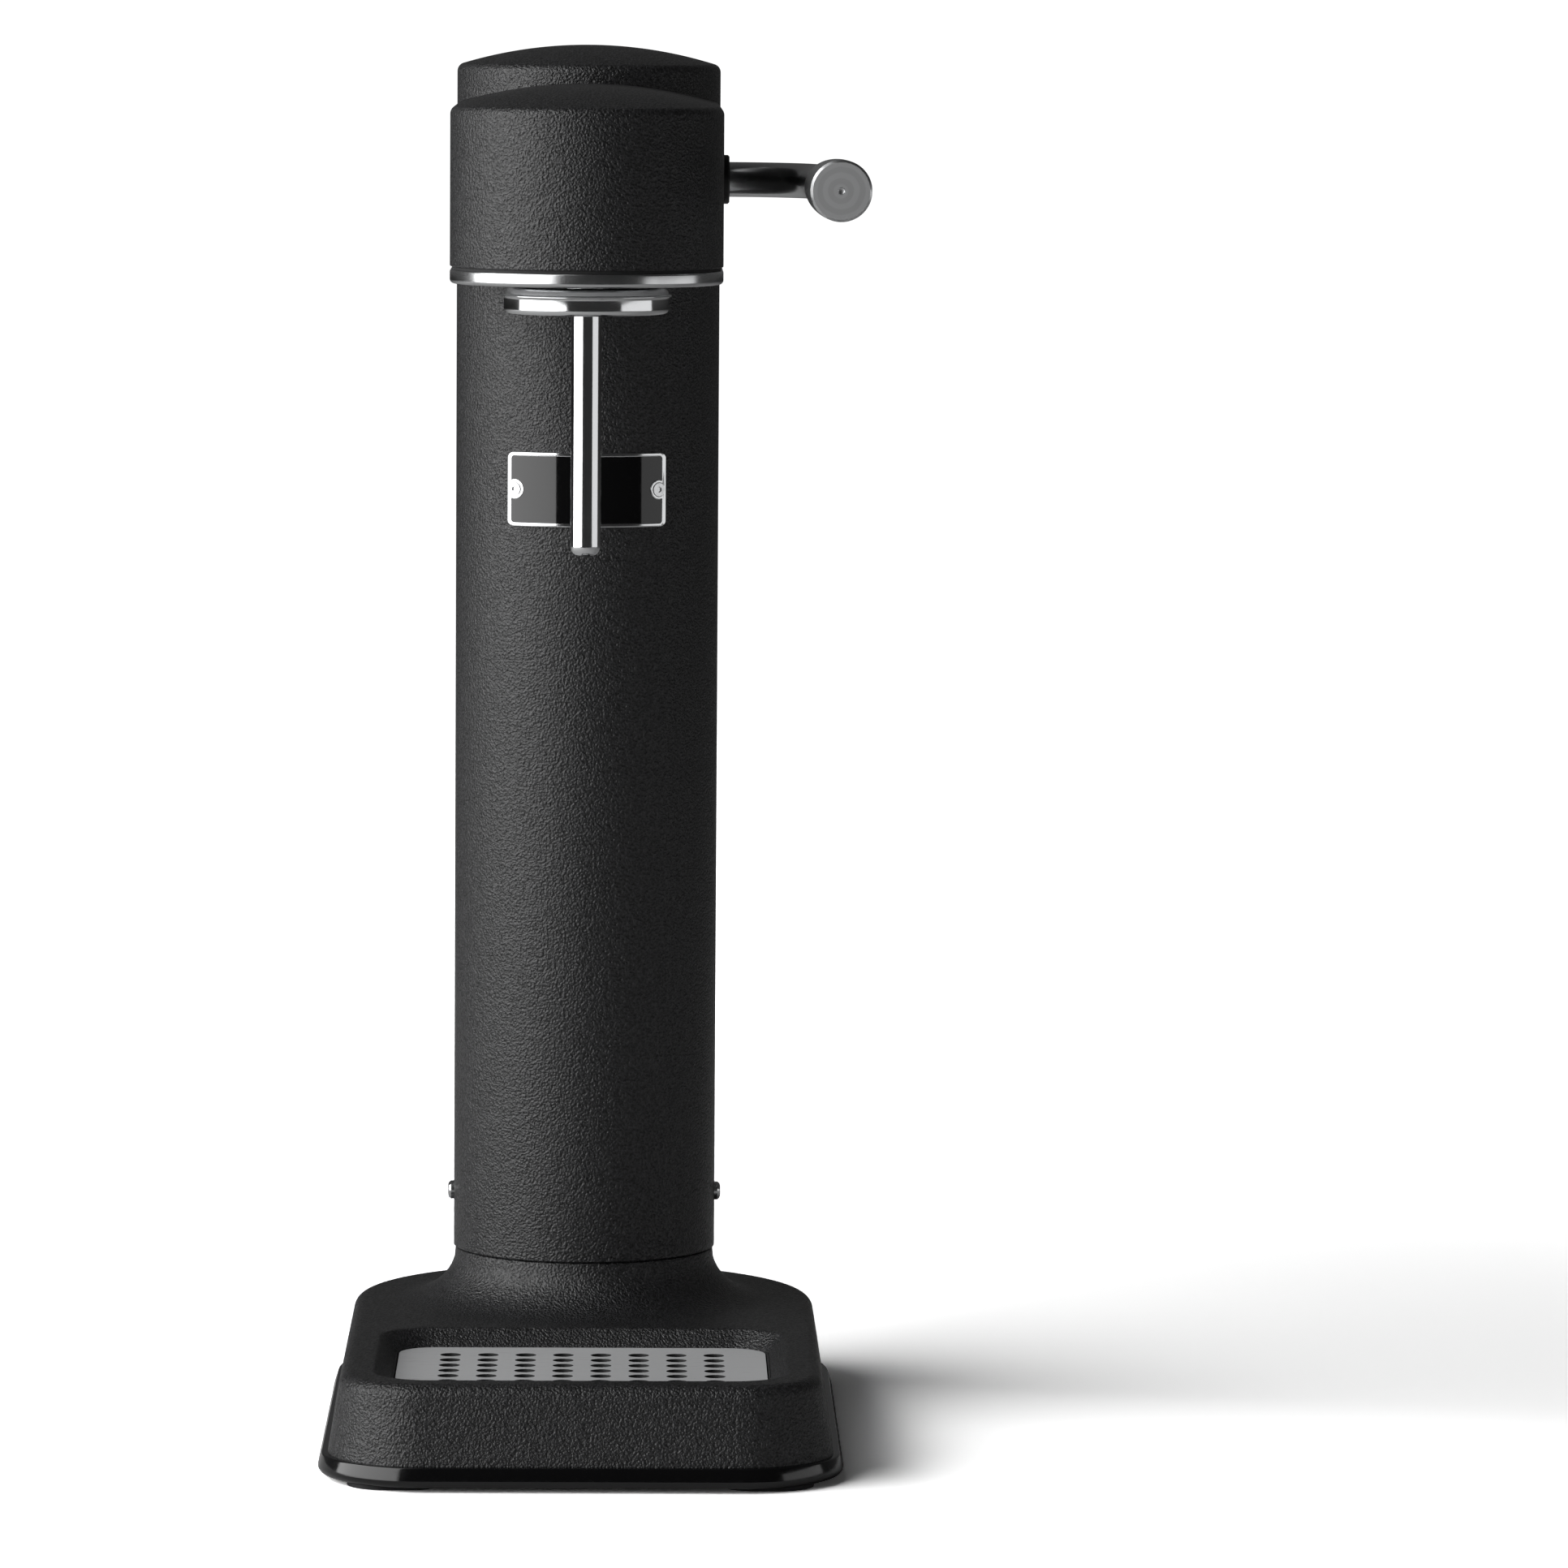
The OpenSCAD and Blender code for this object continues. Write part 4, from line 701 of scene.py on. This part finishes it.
def make_lever(sizes):
    """Bent polished rod with its turned grip, and the black collar it turns in."""
    start, direction = grip_frame(sizes)
    x_bend = bend_x(sizes)
    bm = bmesh.new()
    ring = bmesh.ops.create_circle(bm, segments=48, radius=sizes.rod_r)["verts"]
    turn = Matrix.Rotation(math.radians(90), 4, "Y")
    bmesh.ops.transform(bm, matrix=Matrix.Translation((ROD[0].x, 0, LEVER_AXIS.z)) @ turn, verts=ring)
    loop = ring + [e for e in bm.edges]
    loop = slide(bm, loop, Vector((x_bend - ROD[0].x, 0, 0)))
    centre = (x_bend, -sizes.bend_r, LEVER_AXIS.z)
    loop = spin(bm, loop, centre, math.degrees(sizes.lever_splay) - 90, 28)
    grip_end = (start.y - GRIP[0].y) / math.cos(sizes.lever_splay) - 0.1 * MM
    slide(bm, loop, direction * (grip_end - GRIP_LENGTH + 1 * MM))
    close_up(bm)
    bmesh.ops.holes_fill(bm, edges=bm.edges, sides=0)
    keep("lever_bent_rod", bm, "lever", "polished_steel", ["lever_rod"], "Satin polished stainless")

    root_r, end_r, high = 7.2 * MM, GRIP_END_R, GRIP_LENGTH
    swell = [(root_r + (end_r - root_r) * (1 - (1 - t / 16) ** 2), 0.8 * MM + (t / 16) * (high - 8 * MM))
             for t in range(1, 17)]
    section = ([(0, 0), (root_r - 0.6 * MM, 0), (root_r, 0.8 * MM)] + swell
               + [(end_r, high - 0.7 * MM), (end_r - 0.7 * MM, high), (1.1 * MM, high),
                  (0.9 * MM, high - 0.5 * MM), (0, high - 0.9 * MM)])
    grip = turned(section, steps=96)
    lay_down(grip, start + direction * (grip_end - GRIP_LENGTH), direction)
    grip_piece = keep("lever_turned_grip", grip, "lever", "turned_steel", ["lever_grip"],
                      "Turned stainless grip", math.radians(25))
    paint(grip_piece, "Faced stainless", lambda normal: normal.dot(direction) > 0.95)

    reach = COLLAR[1].x
    radius = COLLAR[1].y
    root = COLLAR[0].x
    bore = sizes.rod_r + 0.1 * MM
    neck_r, step = 6.6 * MM, COLUMN_R - 0.1 * MM
    section = [(bore, root), (neck_r, root), (neck_r, step), (radius, step),
               (radius, reach - 0.5 * MM), (radius - 0.5 * MM, reach), (bore + 0.4 * MM, reach),
               (bore, reach - 0.4 * MM), (bore, root)]
    collar = turned(section, steps=64)
    lay_down(collar, (0, 0, LEVER_AXIS.z), (1, 0, 0))
    keep("lever_black_collar", collar, "machine", "black_plastic", ["lever_collar"])


# ---- base ----

def d_sweep(bm, profile, radius, front, corner_r, corner_steps=14):
    """Sweeps a profile of offset and height round the base: half round at the back, two front corners."""
    mid_y = front + corner_r
    inner = radius - corner_r
    start = draw(bm, [(radius + o, 0, z) for o, z in profile])
    geom = spin(bm, start, (0, 0, 0), 180, 96)
    geom = slide(bm, geom, Vector((0, mid_y, 0)))
    geom = spin(bm, geom, (-inner, mid_y, 0), 90, corner_steps)
    geom = slide(bm, geom, Vector((2 * inner, 0, 0)))
    geom = spin(bm, geom, (inner, mid_y, 0), 90, corner_steps)
    slide(bm, geom, Vector((0, -mid_y, 0)))
    close_up(bm)


def tray_sweep(bm, profile, half_x, low_y, high_y, steps=10):
    """Sweeps a profile of corner radius and height round a rounded rectangle with corner centres as given."""
    start = draw(bm, [(half_x + r, low_y, z) for r, z in profile])
    geom = slide(bm, start, Vector((0, high_y - low_y, 0)))
    geom = spin(bm, geom, (half_x, high_y, 0), 90, steps)
    geom = slide(bm, geom, Vector((-2 * half_x, 0, 0)))
    geom = spin(bm, geom, (-half_x, high_y, 0), 90, steps)
    geom = slide(bm, geom, Vector((0, low_y - high_y, 0)))
    geom = spin(bm, geom, (-half_x, low_y, 0), 90, steps)
    geom = slide(bm, geom, Vector((2 * half_x, 0, 0)))
    spin(bm, geom, (half_x, low_y, 0), 90, steps)
    close_up(bm)


def tray_centres(sizes):
    """Half width between the corner centres, their front and back y, and the sheet's corner radius."""
    half_x = sizes.tray_w / 2 - sizes.tray_corner_r
    fitted_r = GRILLE[1].x - half_x
    return half_x, GRILLE[0].y + fitted_r, GRILLE[1].y - fitted_r, fitted_r


def make_base(sizes):
    """Base shell in one skin: leaning walls, flat top, flared skirt with its spigot, and the tray recess."""
    low = SHELL[0].z
    top = GRILLE[1].z + TRAY_DEPTH
    bottom_r = PLATE[1].x - PLATE_BORDER
    edge = sizes.shell_edge_r
    bm = bmesh.new()
    side = ([(0, low)] + arc(-sizes.lean - edge, top - edge, edge, 4, 90, 12)
            + [(-sizes.lean - edge - FLAT, top)])
    d_sweep(bm, side, bottom_r, SHELL[0].y, sizes.corner_r)

    skirt_top = COLUMN[0].z - 0.3 * MM
    skirt_r = COLUMN_R - 0.7 * MM
    rise = skirt_top - top
    break_r = 0.6 * MM
    flare = [(skirt_r + sizes.flare_w * (1 - math.cos(a)), skirt_top - rise * math.sin(a))
             for a in (math.radians(degrees) for degrees in range(90, 8, -6))]
    spigot_r = COLUMN_R - sizes.sheet - 0.1 * MM
    bore = spigot_r - 3.5 * MM
    section = ([(skirt_r + sizes.flare_w + FLAT, top)] + flare
               + arc(skirt_r - break_r + 0.15 * MM, skirt_top - break_r, break_r, 10, 90, 4)
               + [(spigot_r, skirt_top), (spigot_r, SHELL[1].z), (bore, SHELL[1].z), (bore, low)])
    spin(bm, draw(bm, [(r, 0, z) for r, z in section]), (0, 0, 0), 360, 128)

    half_x, low_y, high_y, _ = tray_centres(sizes)
    rim = sizes.tray_rim_r
    ledge_r = sizes.tray_corner_r - sizes.tray_slope
    ledge_z = PAN[1].z - 1.4 * MM
    opening_r = ledge_r - 3 * MM
    slope = math.degrees(math.atan2(top - GRILLE[1].z, sizes.tray_slope))
    face = rim * math.tan(math.radians(slope) / 2)
    start_r = sizes.tray_corner_r + face
    rim_arc = arc(start_r, top - rim, rim, 90, 90 + slope, 6)
    recess = ([(start_r + FLAT, top)] + rim_arc
              + arc(ledge_r + 0.9 * MM, GRILLE[1].z + 0.6 * MM, 0.5 * MM, 225, 200, 2)
              + [(ledge_r, GRILLE[1].z), (ledge_r, ledge_z), (opening_r, ledge_z), (opening_r, low)])
    tray_sweep(bm, recess, half_x, low_y, high_y)

    close_up(bm)
    cap(bm, lambda p: abs(p.z - top) < NEAR)
    cap(bm, lambda p: abs(p.z - low) < NEAR)
    keep("base_casing", bm, "machine", "powder_black", ["base_shell"])


def make_base_plate(sizes):
    """Gloss black base plate with a rounded lower edge and the port for the gas cylinder."""
    low, high = PLATE[0].z, PLATE[1].z
    radius = PLATE[1].x
    port = CYLINDER[1].x + 3 * MM
    profile = ([(-2.4 * MM - FLAT, low)] + arc(-2.3 * MM, low + 2.3 * MM, 2.3 * MM, -90, 0, 10)
               + arc(-1.5 * MM, high - 0.6 * MM, 0.5 * MM, 10, 90, 4) + [(-1.6 * MM - FLAT, high)])
    bm = bmesh.new()
    d_sweep(bm, profile, radius, PLATE[0].y, sizes.corner_r + PLATE_BORDER)
    spin(bm, draw(bm, [(port, 0, low), (port, 0, high)]), (0, 0, 0), 360, 96)
    close_up(bm)
    cap(bm, lambda p: abs(p.z - high) < NEAR)
    cap(bm, lambda p: abs(p.z - low) < NEAR)
    keep("base_gloss_plate", bm, "machine", "gloss_black", ["base_plate"])


def make_grille(sizes):
    """Drip grille: a flat stainless sheet with eight by seven chamfered holes."""
    half_x, low_y, high_y, fitted_r = tray_centres(sizes)
    top, bottom = GRILLE[1].z, GRILLE[0].z
    bm = bmesh.new()
    corners = [(half_x, high_y, 0), (-half_x, high_y, 90), (-half_x, low_y, 180), (half_x, low_y, 270)]
    outline = [(x + px, y + py, top) for x, y, a in corners
               for px, py in arc(0, 0, fitted_r, a, a + 90, 12)]
    draw(bm, outline, closed=True)
    mid_y = (low_y + high_y) / 2
    for i in range(8):
        for j in range(7):
            place = Matrix.Translation(((i - 3.5) * sizes.hole_dx, mid_y + (j - 3) * sizes.hole_dy, top))
            bmesh.ops.create_circle(bm, segments=28, radius=sizes.hole_r, matrix=place)
    bmesh.ops.triangle_fill(bm, use_beauty=True, use_dissolve=False, edges=bm.edges)
    new = bmesh.ops.extrude_face_region(bm, geom=bm.faces[:])["geom"]
    verts = [g for g in new if isinstance(g, bmesh.types.BMVert)]
    bmesh.ops.translate(bm, verts=verts, vec=(0, 0, bottom - top))
    close_up(bm)
    bmesh.ops.recalc_face_normals(bm, faces=bm.faces)
    rims = [e for e in bm.edges if abs(e.calc_face_angle(0) - math.pi / 2) < 0.2
            and abs(e.verts[0].co.z - e.verts[1].co.z) < NEAR]
    bmesh.ops.bevel(bm, geom=rims, offset=0.1 * MM, offset_type="OFFSET", affect="EDGES", segments=1,
                    profile=0.5, material=-1)
    sheet = keep("tray_grille_sheet", bm, "drip_grille", "grille_steel", ["drip_grille"])
    # near-black finish on the hole walls: painted shade inside the holes
    paint(sheet, "Punched hole walls", lambda normal: abs(normal.z) < 0.8)


# ---- smooth copies of CAD nodes whose shape is right ----

def smooth_copy(node, material=None, rounding=0, ends=None):
    """A merged copy of a CAD node, shaded smooth over its curves, with its sharp edges rounded if asked.
    ends are the bodies below and above a spring, passed on with the places of the spring's two ends."""
    bm = bmesh.new()
    bm.from_mesh(frame["nodes"][node].data)
    slot = SLOT_OF[node]
    if rounding:
        close_up(bm)
        bmesh.ops.dissolve_limit(bm, angle_limit=math.radians(1), verts=bm.verts, edges=bm.edges)
        edges = [e for e in bm.edges if e.calc_face_angle(0) > math.radians(60)]
        bmesh.ops.bevel(bm, geom=edges, offset=rounding, offset_type="OFFSET", affect="EDGES", segments=3,
                        profile=0.5, material=-1, clamp_overlap=True)
    body = body_of(node)
    if ends:
        low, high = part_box(node)
        middle = (low + high) / 2
        body = (*ends, (middle.x, middle.y, low.z), (middle.x, middle.y, high.z))
    keep(node + "_smooth", bm, body, slot, [node], material, math.radians(28))


SMOOTH_COPIES = (
    "name_plate_screws", "side_screws", "underplate_screws", "bottle_seal",
    "nozzle_jet", "gas_cylinder", "cylinder_valve", "cylinder_guide", "feet", "drip_pan", "plate_screws",
)


def make_hardware():
    for node in SMOOTH_COPIES:
        smooth_copy(node)
    smooth_copy("name_plate_face", "Gloss black enamel")
    smooth_copy("name_plate_frame", rounding=0.22 * MM)
    smooth_copy("plunger_spring", ends=("machine", "plunger"))
    smooth_copy("relief_spring", ends=("relief_poppet", "machine"))


def finish_inner_nodes():
    """Gives every CAD node that stays its own finish."""
    for node, item in frame["nodes"].items():
        material = bpy.data.materials[SLOT_FINISH[SLOT_OF[node]]]
        if not item.material_slots:
            item.data.materials.append(material)
        for slot in item.material_slots:
            slot.material = material


# ---- studio ----

PAPER_HALF = 6                  # half the side of the paper, in metres
PAPER_FRONT = 1.2               # from the machine to the front edge of the paper
PAPER_EXPOSURE = 2.75           # brightness of the paper for the camera
PAPER_GLOW = 0.3, 1.2           # distances between which the paper is lit up to white


def panel(name, place, target, width, height, radiance, near=1, far=1):
    """A soft box that faces a point, as bright as radiance, times near to far across its width."""
    light = bpy.data.lights.new(name, "AREA")
    light.shape = "RECTANGLE"
    light.size = width
    light.size_y = height
    light.energy = radiance * math.pi * width * height
    light.use_nodes = True
    tree = light.node_tree
    across = add_node(tree, "ShaderNodeSeparateXYZ", links={
        "Vector": add_node(tree, "ShaderNodeNewGeometry").outputs["Parametric"]})
    add_node(tree, "ShaderNodeMapRange", {"To Min": near, "To Max": far}, {"Value": across.outputs["X"]},
             {"Result": tree.nodes["Emission"].inputs["Strength"]})
    item = bpy.data.objects.new(name, light)
    item.location = place
    item.rotation_euler = (Vector(target) - Vector(place)).to_track_quat("-Z", "Y").to_euler()
    bpy.context.scene.collection.objects.link(item)


def make_floor():
    """White paper sweep: plain near the object, and lit up to white towards the back."""
    bm = bmesh.new()
    bmesh.ops.create_grid(bm, x_segments=1, y_segments=1, size=PAPER_HALF,
                          matrix=Matrix.Translation((0, PAPER_HALF - PAPER_FRONT, 0)))
    mesh = bpy.data.meshes.new("studio_floor")
    bm.to_mesh(mesh)
    bm.free()
    floor = bpy.data.objects.new("studio_floor", mesh)
    bpy.context.scene.collection.objects.link(floor)
    material, tree, shader, place = finish("White paper sweep", (1, 1, 1))
    tree.nodes.remove(shader)
    path = add_node(tree, "ShaderNodeLightPath")
    # the paper is exposed to white for the camera, and kept dim in what the black casing picks up from it
    dim = add_node(tree, "ShaderNodeMapRange", {"To Min": 0.6, "To Max": 0.12},
                   {"Value": path.outputs["Is Diffuse Ray"]})
    level = add_node(tree, "ShaderNodeMapRange", {"To Max": PAPER_EXPOSURE},
                     {"Value": path.outputs["Is Camera Ray"], "To Min": dim.outputs["Result"]})
    paper = add_node(tree, "ShaderNodeBsdfDiffuse", links={"Color": level.outputs["Result"]})
    away = add_node(tree, "ShaderNodeVectorMath", links={0: place}, operation="LENGTH")
    glow = add_node(tree, "ShaderNodeMapRange", {"From Min": PAPER_GLOW[0], "From Max": PAPER_GLOW[1]},
                    {"Value": away.outputs["Value"]}, interpolation_type="SMOOTHSTEP")
    seen = add_node(tree, "ShaderNodeMath", None,
                    {0: glow.outputs["Result"], 1: path.outputs["Is Camera Ray"]}, operation="MULTIPLY")
    light = add_node(tree, "ShaderNodeEmission", links={"Strength": seen.outputs["Value"]})
    both = add_node(tree, "ShaderNodeAddShader", links={0: paper.outputs["BSDF"], 1: light.outputs["Emission"]})
    tree.links.new(both.outputs["Shader"], tree.nodes["Material Output"].inputs["Surface"])
    mesh.materials.append(material)


def make_world():
    """White behind the object for the camera, and a dim room, lighter at the back, for reflections."""
    world = bpy.data.worlds.new("Studio")
    bpy.context.scene.world = world
    world.use_nodes = True
    tree = world.node_tree
    tree.nodes.clear()
    path = add_node(tree, "ShaderNodeLightPath")
    direction = add_node(tree, "ShaderNodeTexCoord").outputs["Generated"]
    parts = add_node(tree, "ShaderNodeSeparateXYZ", links={"Vector": direction})
    level = add_node(tree, "ShaderNodeMapRange",
                     {"From Min": -0.2, "From Max": 0.9, "To Min": 0.03, "To Max": 0.08},
                     {"Value": parts.outputs["Y"]})
    # matt surfaces get less of the room than the mirrors show, as under a flag above the set
    dim = add_node(tree, "ShaderNodeMapRange", {"To Min": 1.0, "To Max": 0.15},
                   {"Value": path.outputs["Is Diffuse Ray"]})
    strength = add_node(tree, "ShaderNodeMath", None, {0: level.outputs["Result"], 1: dim.outputs["Result"]},
                        operation="MULTIPLY")
    room = add_node(tree, "ShaderNodeBackground", {"Color": (1, 1, 1, 1)},
                    {"Strength": strength.outputs["Value"]})
    white = add_node(tree, "ShaderNodeBackground", {"Color": (1, 1, 1, 1), "Strength": 1.1})
    mix = add_node(tree, "ShaderNodeMixShader", links={
        0: path.outputs["Is Camera Ray"], 1: room.outputs["Background"], 2: white.outputs["Background"]})
    add_node(tree, "ShaderNodeOutputWorld", links={"Surface": mix.outputs["Shader"]})


CAMERA_PLACE = Vector((0.01153, -2.68121, 0.43655))
CAMERA_DOWN = math.radians(5.28)
CAMERA_RIGHT = math.radians(1.049)
CAMERA_ROLL = math.radians(0.372)
CAMERA_LENS = 201.88


def make_camera():
    data = bpy.data.cameras.new("camera")
    data.lens = CAMERA_LENS
    data.sensor_width = 36
    item = bpy.data.objects.new("camera", data)
    item.matrix_world = (Matrix.Translation(CAMERA_PLACE) @ Matrix.Rotation(-CAMERA_RIGHT, 4, "Z")
                         @ Matrix.Rotation(math.pi / 2 - CAMERA_DOWN, 4, "X")
                         @ Matrix.Rotation(CAMERA_ROLL, 4, "Z"))
    bpy.context.scene.collection.objects.link(item)
    bpy.context.scene.camera = item


def make_studio():
    make_camera()
    make_floor()
    make_world()
    panel("left_softbox", (-1.415, -0.685, 1.05), (0, -0.05, 1.05), 2.5, 2.1, 3.5, 1.2, 0.8)
    panel("high_softbox", (-1.2, -0.55, 1.9), (0, -0.1, 0), 1.8, 1.8, 0.6)
    panel("right_strip", (1.45, -0.45, 0.22), (0, -0.1, 0.22), 1.5, 0.36, 0.9)
    scene = bpy.context.scene
    scene.view_settings.view_transform = "Standard"
    scene.view_settings.look = "None"


# ---- operators ----

class CARBONATOR_OT_finishes(bpy.types.Operator):
    """Makes the finishes and gives them to the parts inside"""
    bl_idname = "carbonator.finishes"
    bl_label = "Finishes"

    def execute(self, context):
        make_finishes(context.scene.carbonator_finishes)
        finish_inner_nodes()
        return {"FINISHED"}


class CARBONATOR_OT_casing(bpy.types.Operator):
    """Makes the column, the head cover and the plates under it"""
    bl_idname = "carbonator.casing"
    bl_label = "Column and head"

    def execute(self, context):
        sizes = context.scene.carbonator_sizes
        make_column(sizes)
        make_head(sizes)
        make_head_plates()
        return {"FINISHED"}


class CARBONATOR_OT_nozzle(bpy.types.Operator):
    """Makes the bottle holder and the nozzle"""
    bl_idname = "carbonator.nozzle"
    bl_label = "Bottle holder and nozzle"

    def execute(self, context):
        make_holder()
        make_nozzle()
        return {"FINISHED"}


class CARBONATOR_OT_lever(bpy.types.Operator):
    """Makes the lever with its grip and collar"""
    bl_idname = "carbonator.lever"
    bl_label = "Lever"

    def execute(self, context):
        make_lever(context.scene.carbonator_sizes)
        return {"FINISHED"}


class CARBONATOR_OT_base(bpy.types.Operator):
    """Makes the base shell, the base plate and the drip grille"""
    bl_idname = "carbonator.base"
    bl_label = "Base and drip tray"

    def execute(self, context):
        sizes = context.scene.carbonator_sizes
        make_base(sizes)
        make_base_plate(sizes)
        make_grille(sizes)
        return {"FINISHED"}


class CARBONATOR_OT_hardware(bpy.types.Operator):
    """Makes smooth copies of the small hardware and the gas cylinder"""
    bl_idname = "carbonator.hardware"
    bl_label = "Hardware"

    def execute(self, context):
        make_hardware()
        return {"FINISHED"}


class CARBONATOR_OT_studio(bpy.types.Operator):
    """Makes the floor, the lights and the camera"""
    bl_idname = "carbonator.studio"
    bl_label = "Studio"

    def execute(self, context):
        make_studio()
        return {"FINISHED"}


STEPS = (
    CARBONATOR_OT_studio,
    CARBONATOR_OT_finishes,
    CARBONATOR_OT_casing,
    CARBONATOR_OT_nozzle,
    CARBONATOR_OT_lever,
    CARBONATOR_OT_base,
    CARBONATOR_OT_hardware,
)


class CARBONATOR_PT_panel(bpy.types.Panel):
    """Sizes, colours and building steps of the soda carbonator"""
    bl_idname = "CARBONATOR_PT_panel"
    bl_label = "Soda carbonator"
    bl_space_type = "VIEW_3D"
    bl_region_type = "UI"
    bl_category = "Carbonator"

    def draw(self, context):
        for group in (context.scene.carbonator_sizes, context.scene.carbonator_finishes):
            box = self.layout.box()
            for name in group.__annotations__:
                box.prop(group, name)
        for step in STEPS:
            self.layout.operator(step.bl_idname)


CLASSES = (CarbonatorSizes, CarbonatorFinishes, *STEPS, CARBONATOR_PT_panel)


def register():
    for cls in CLASSES:
        bpy.utils.register_class(cls)
    bpy.types.Scene.carbonator_sizes = bpy.props.PointerProperty(type=CarbonatorSizes)
    bpy.types.Scene.carbonator_finishes = bpy.props.PointerProperty(type=CarbonatorFinishes)


def unregister():
    del bpy.types.Scene.carbonator_finishes
    del bpy.types.Scene.carbonator_sizes
    for cls in reversed(CLASSES):
        bpy.utils.unregister_class(cls)


def main():
    register()
    for step in STEPS:
        getattr(bpy.ops.carbonator, step.bl_idname.split(".")[1])()


if __name__ == "__main__":
    main()
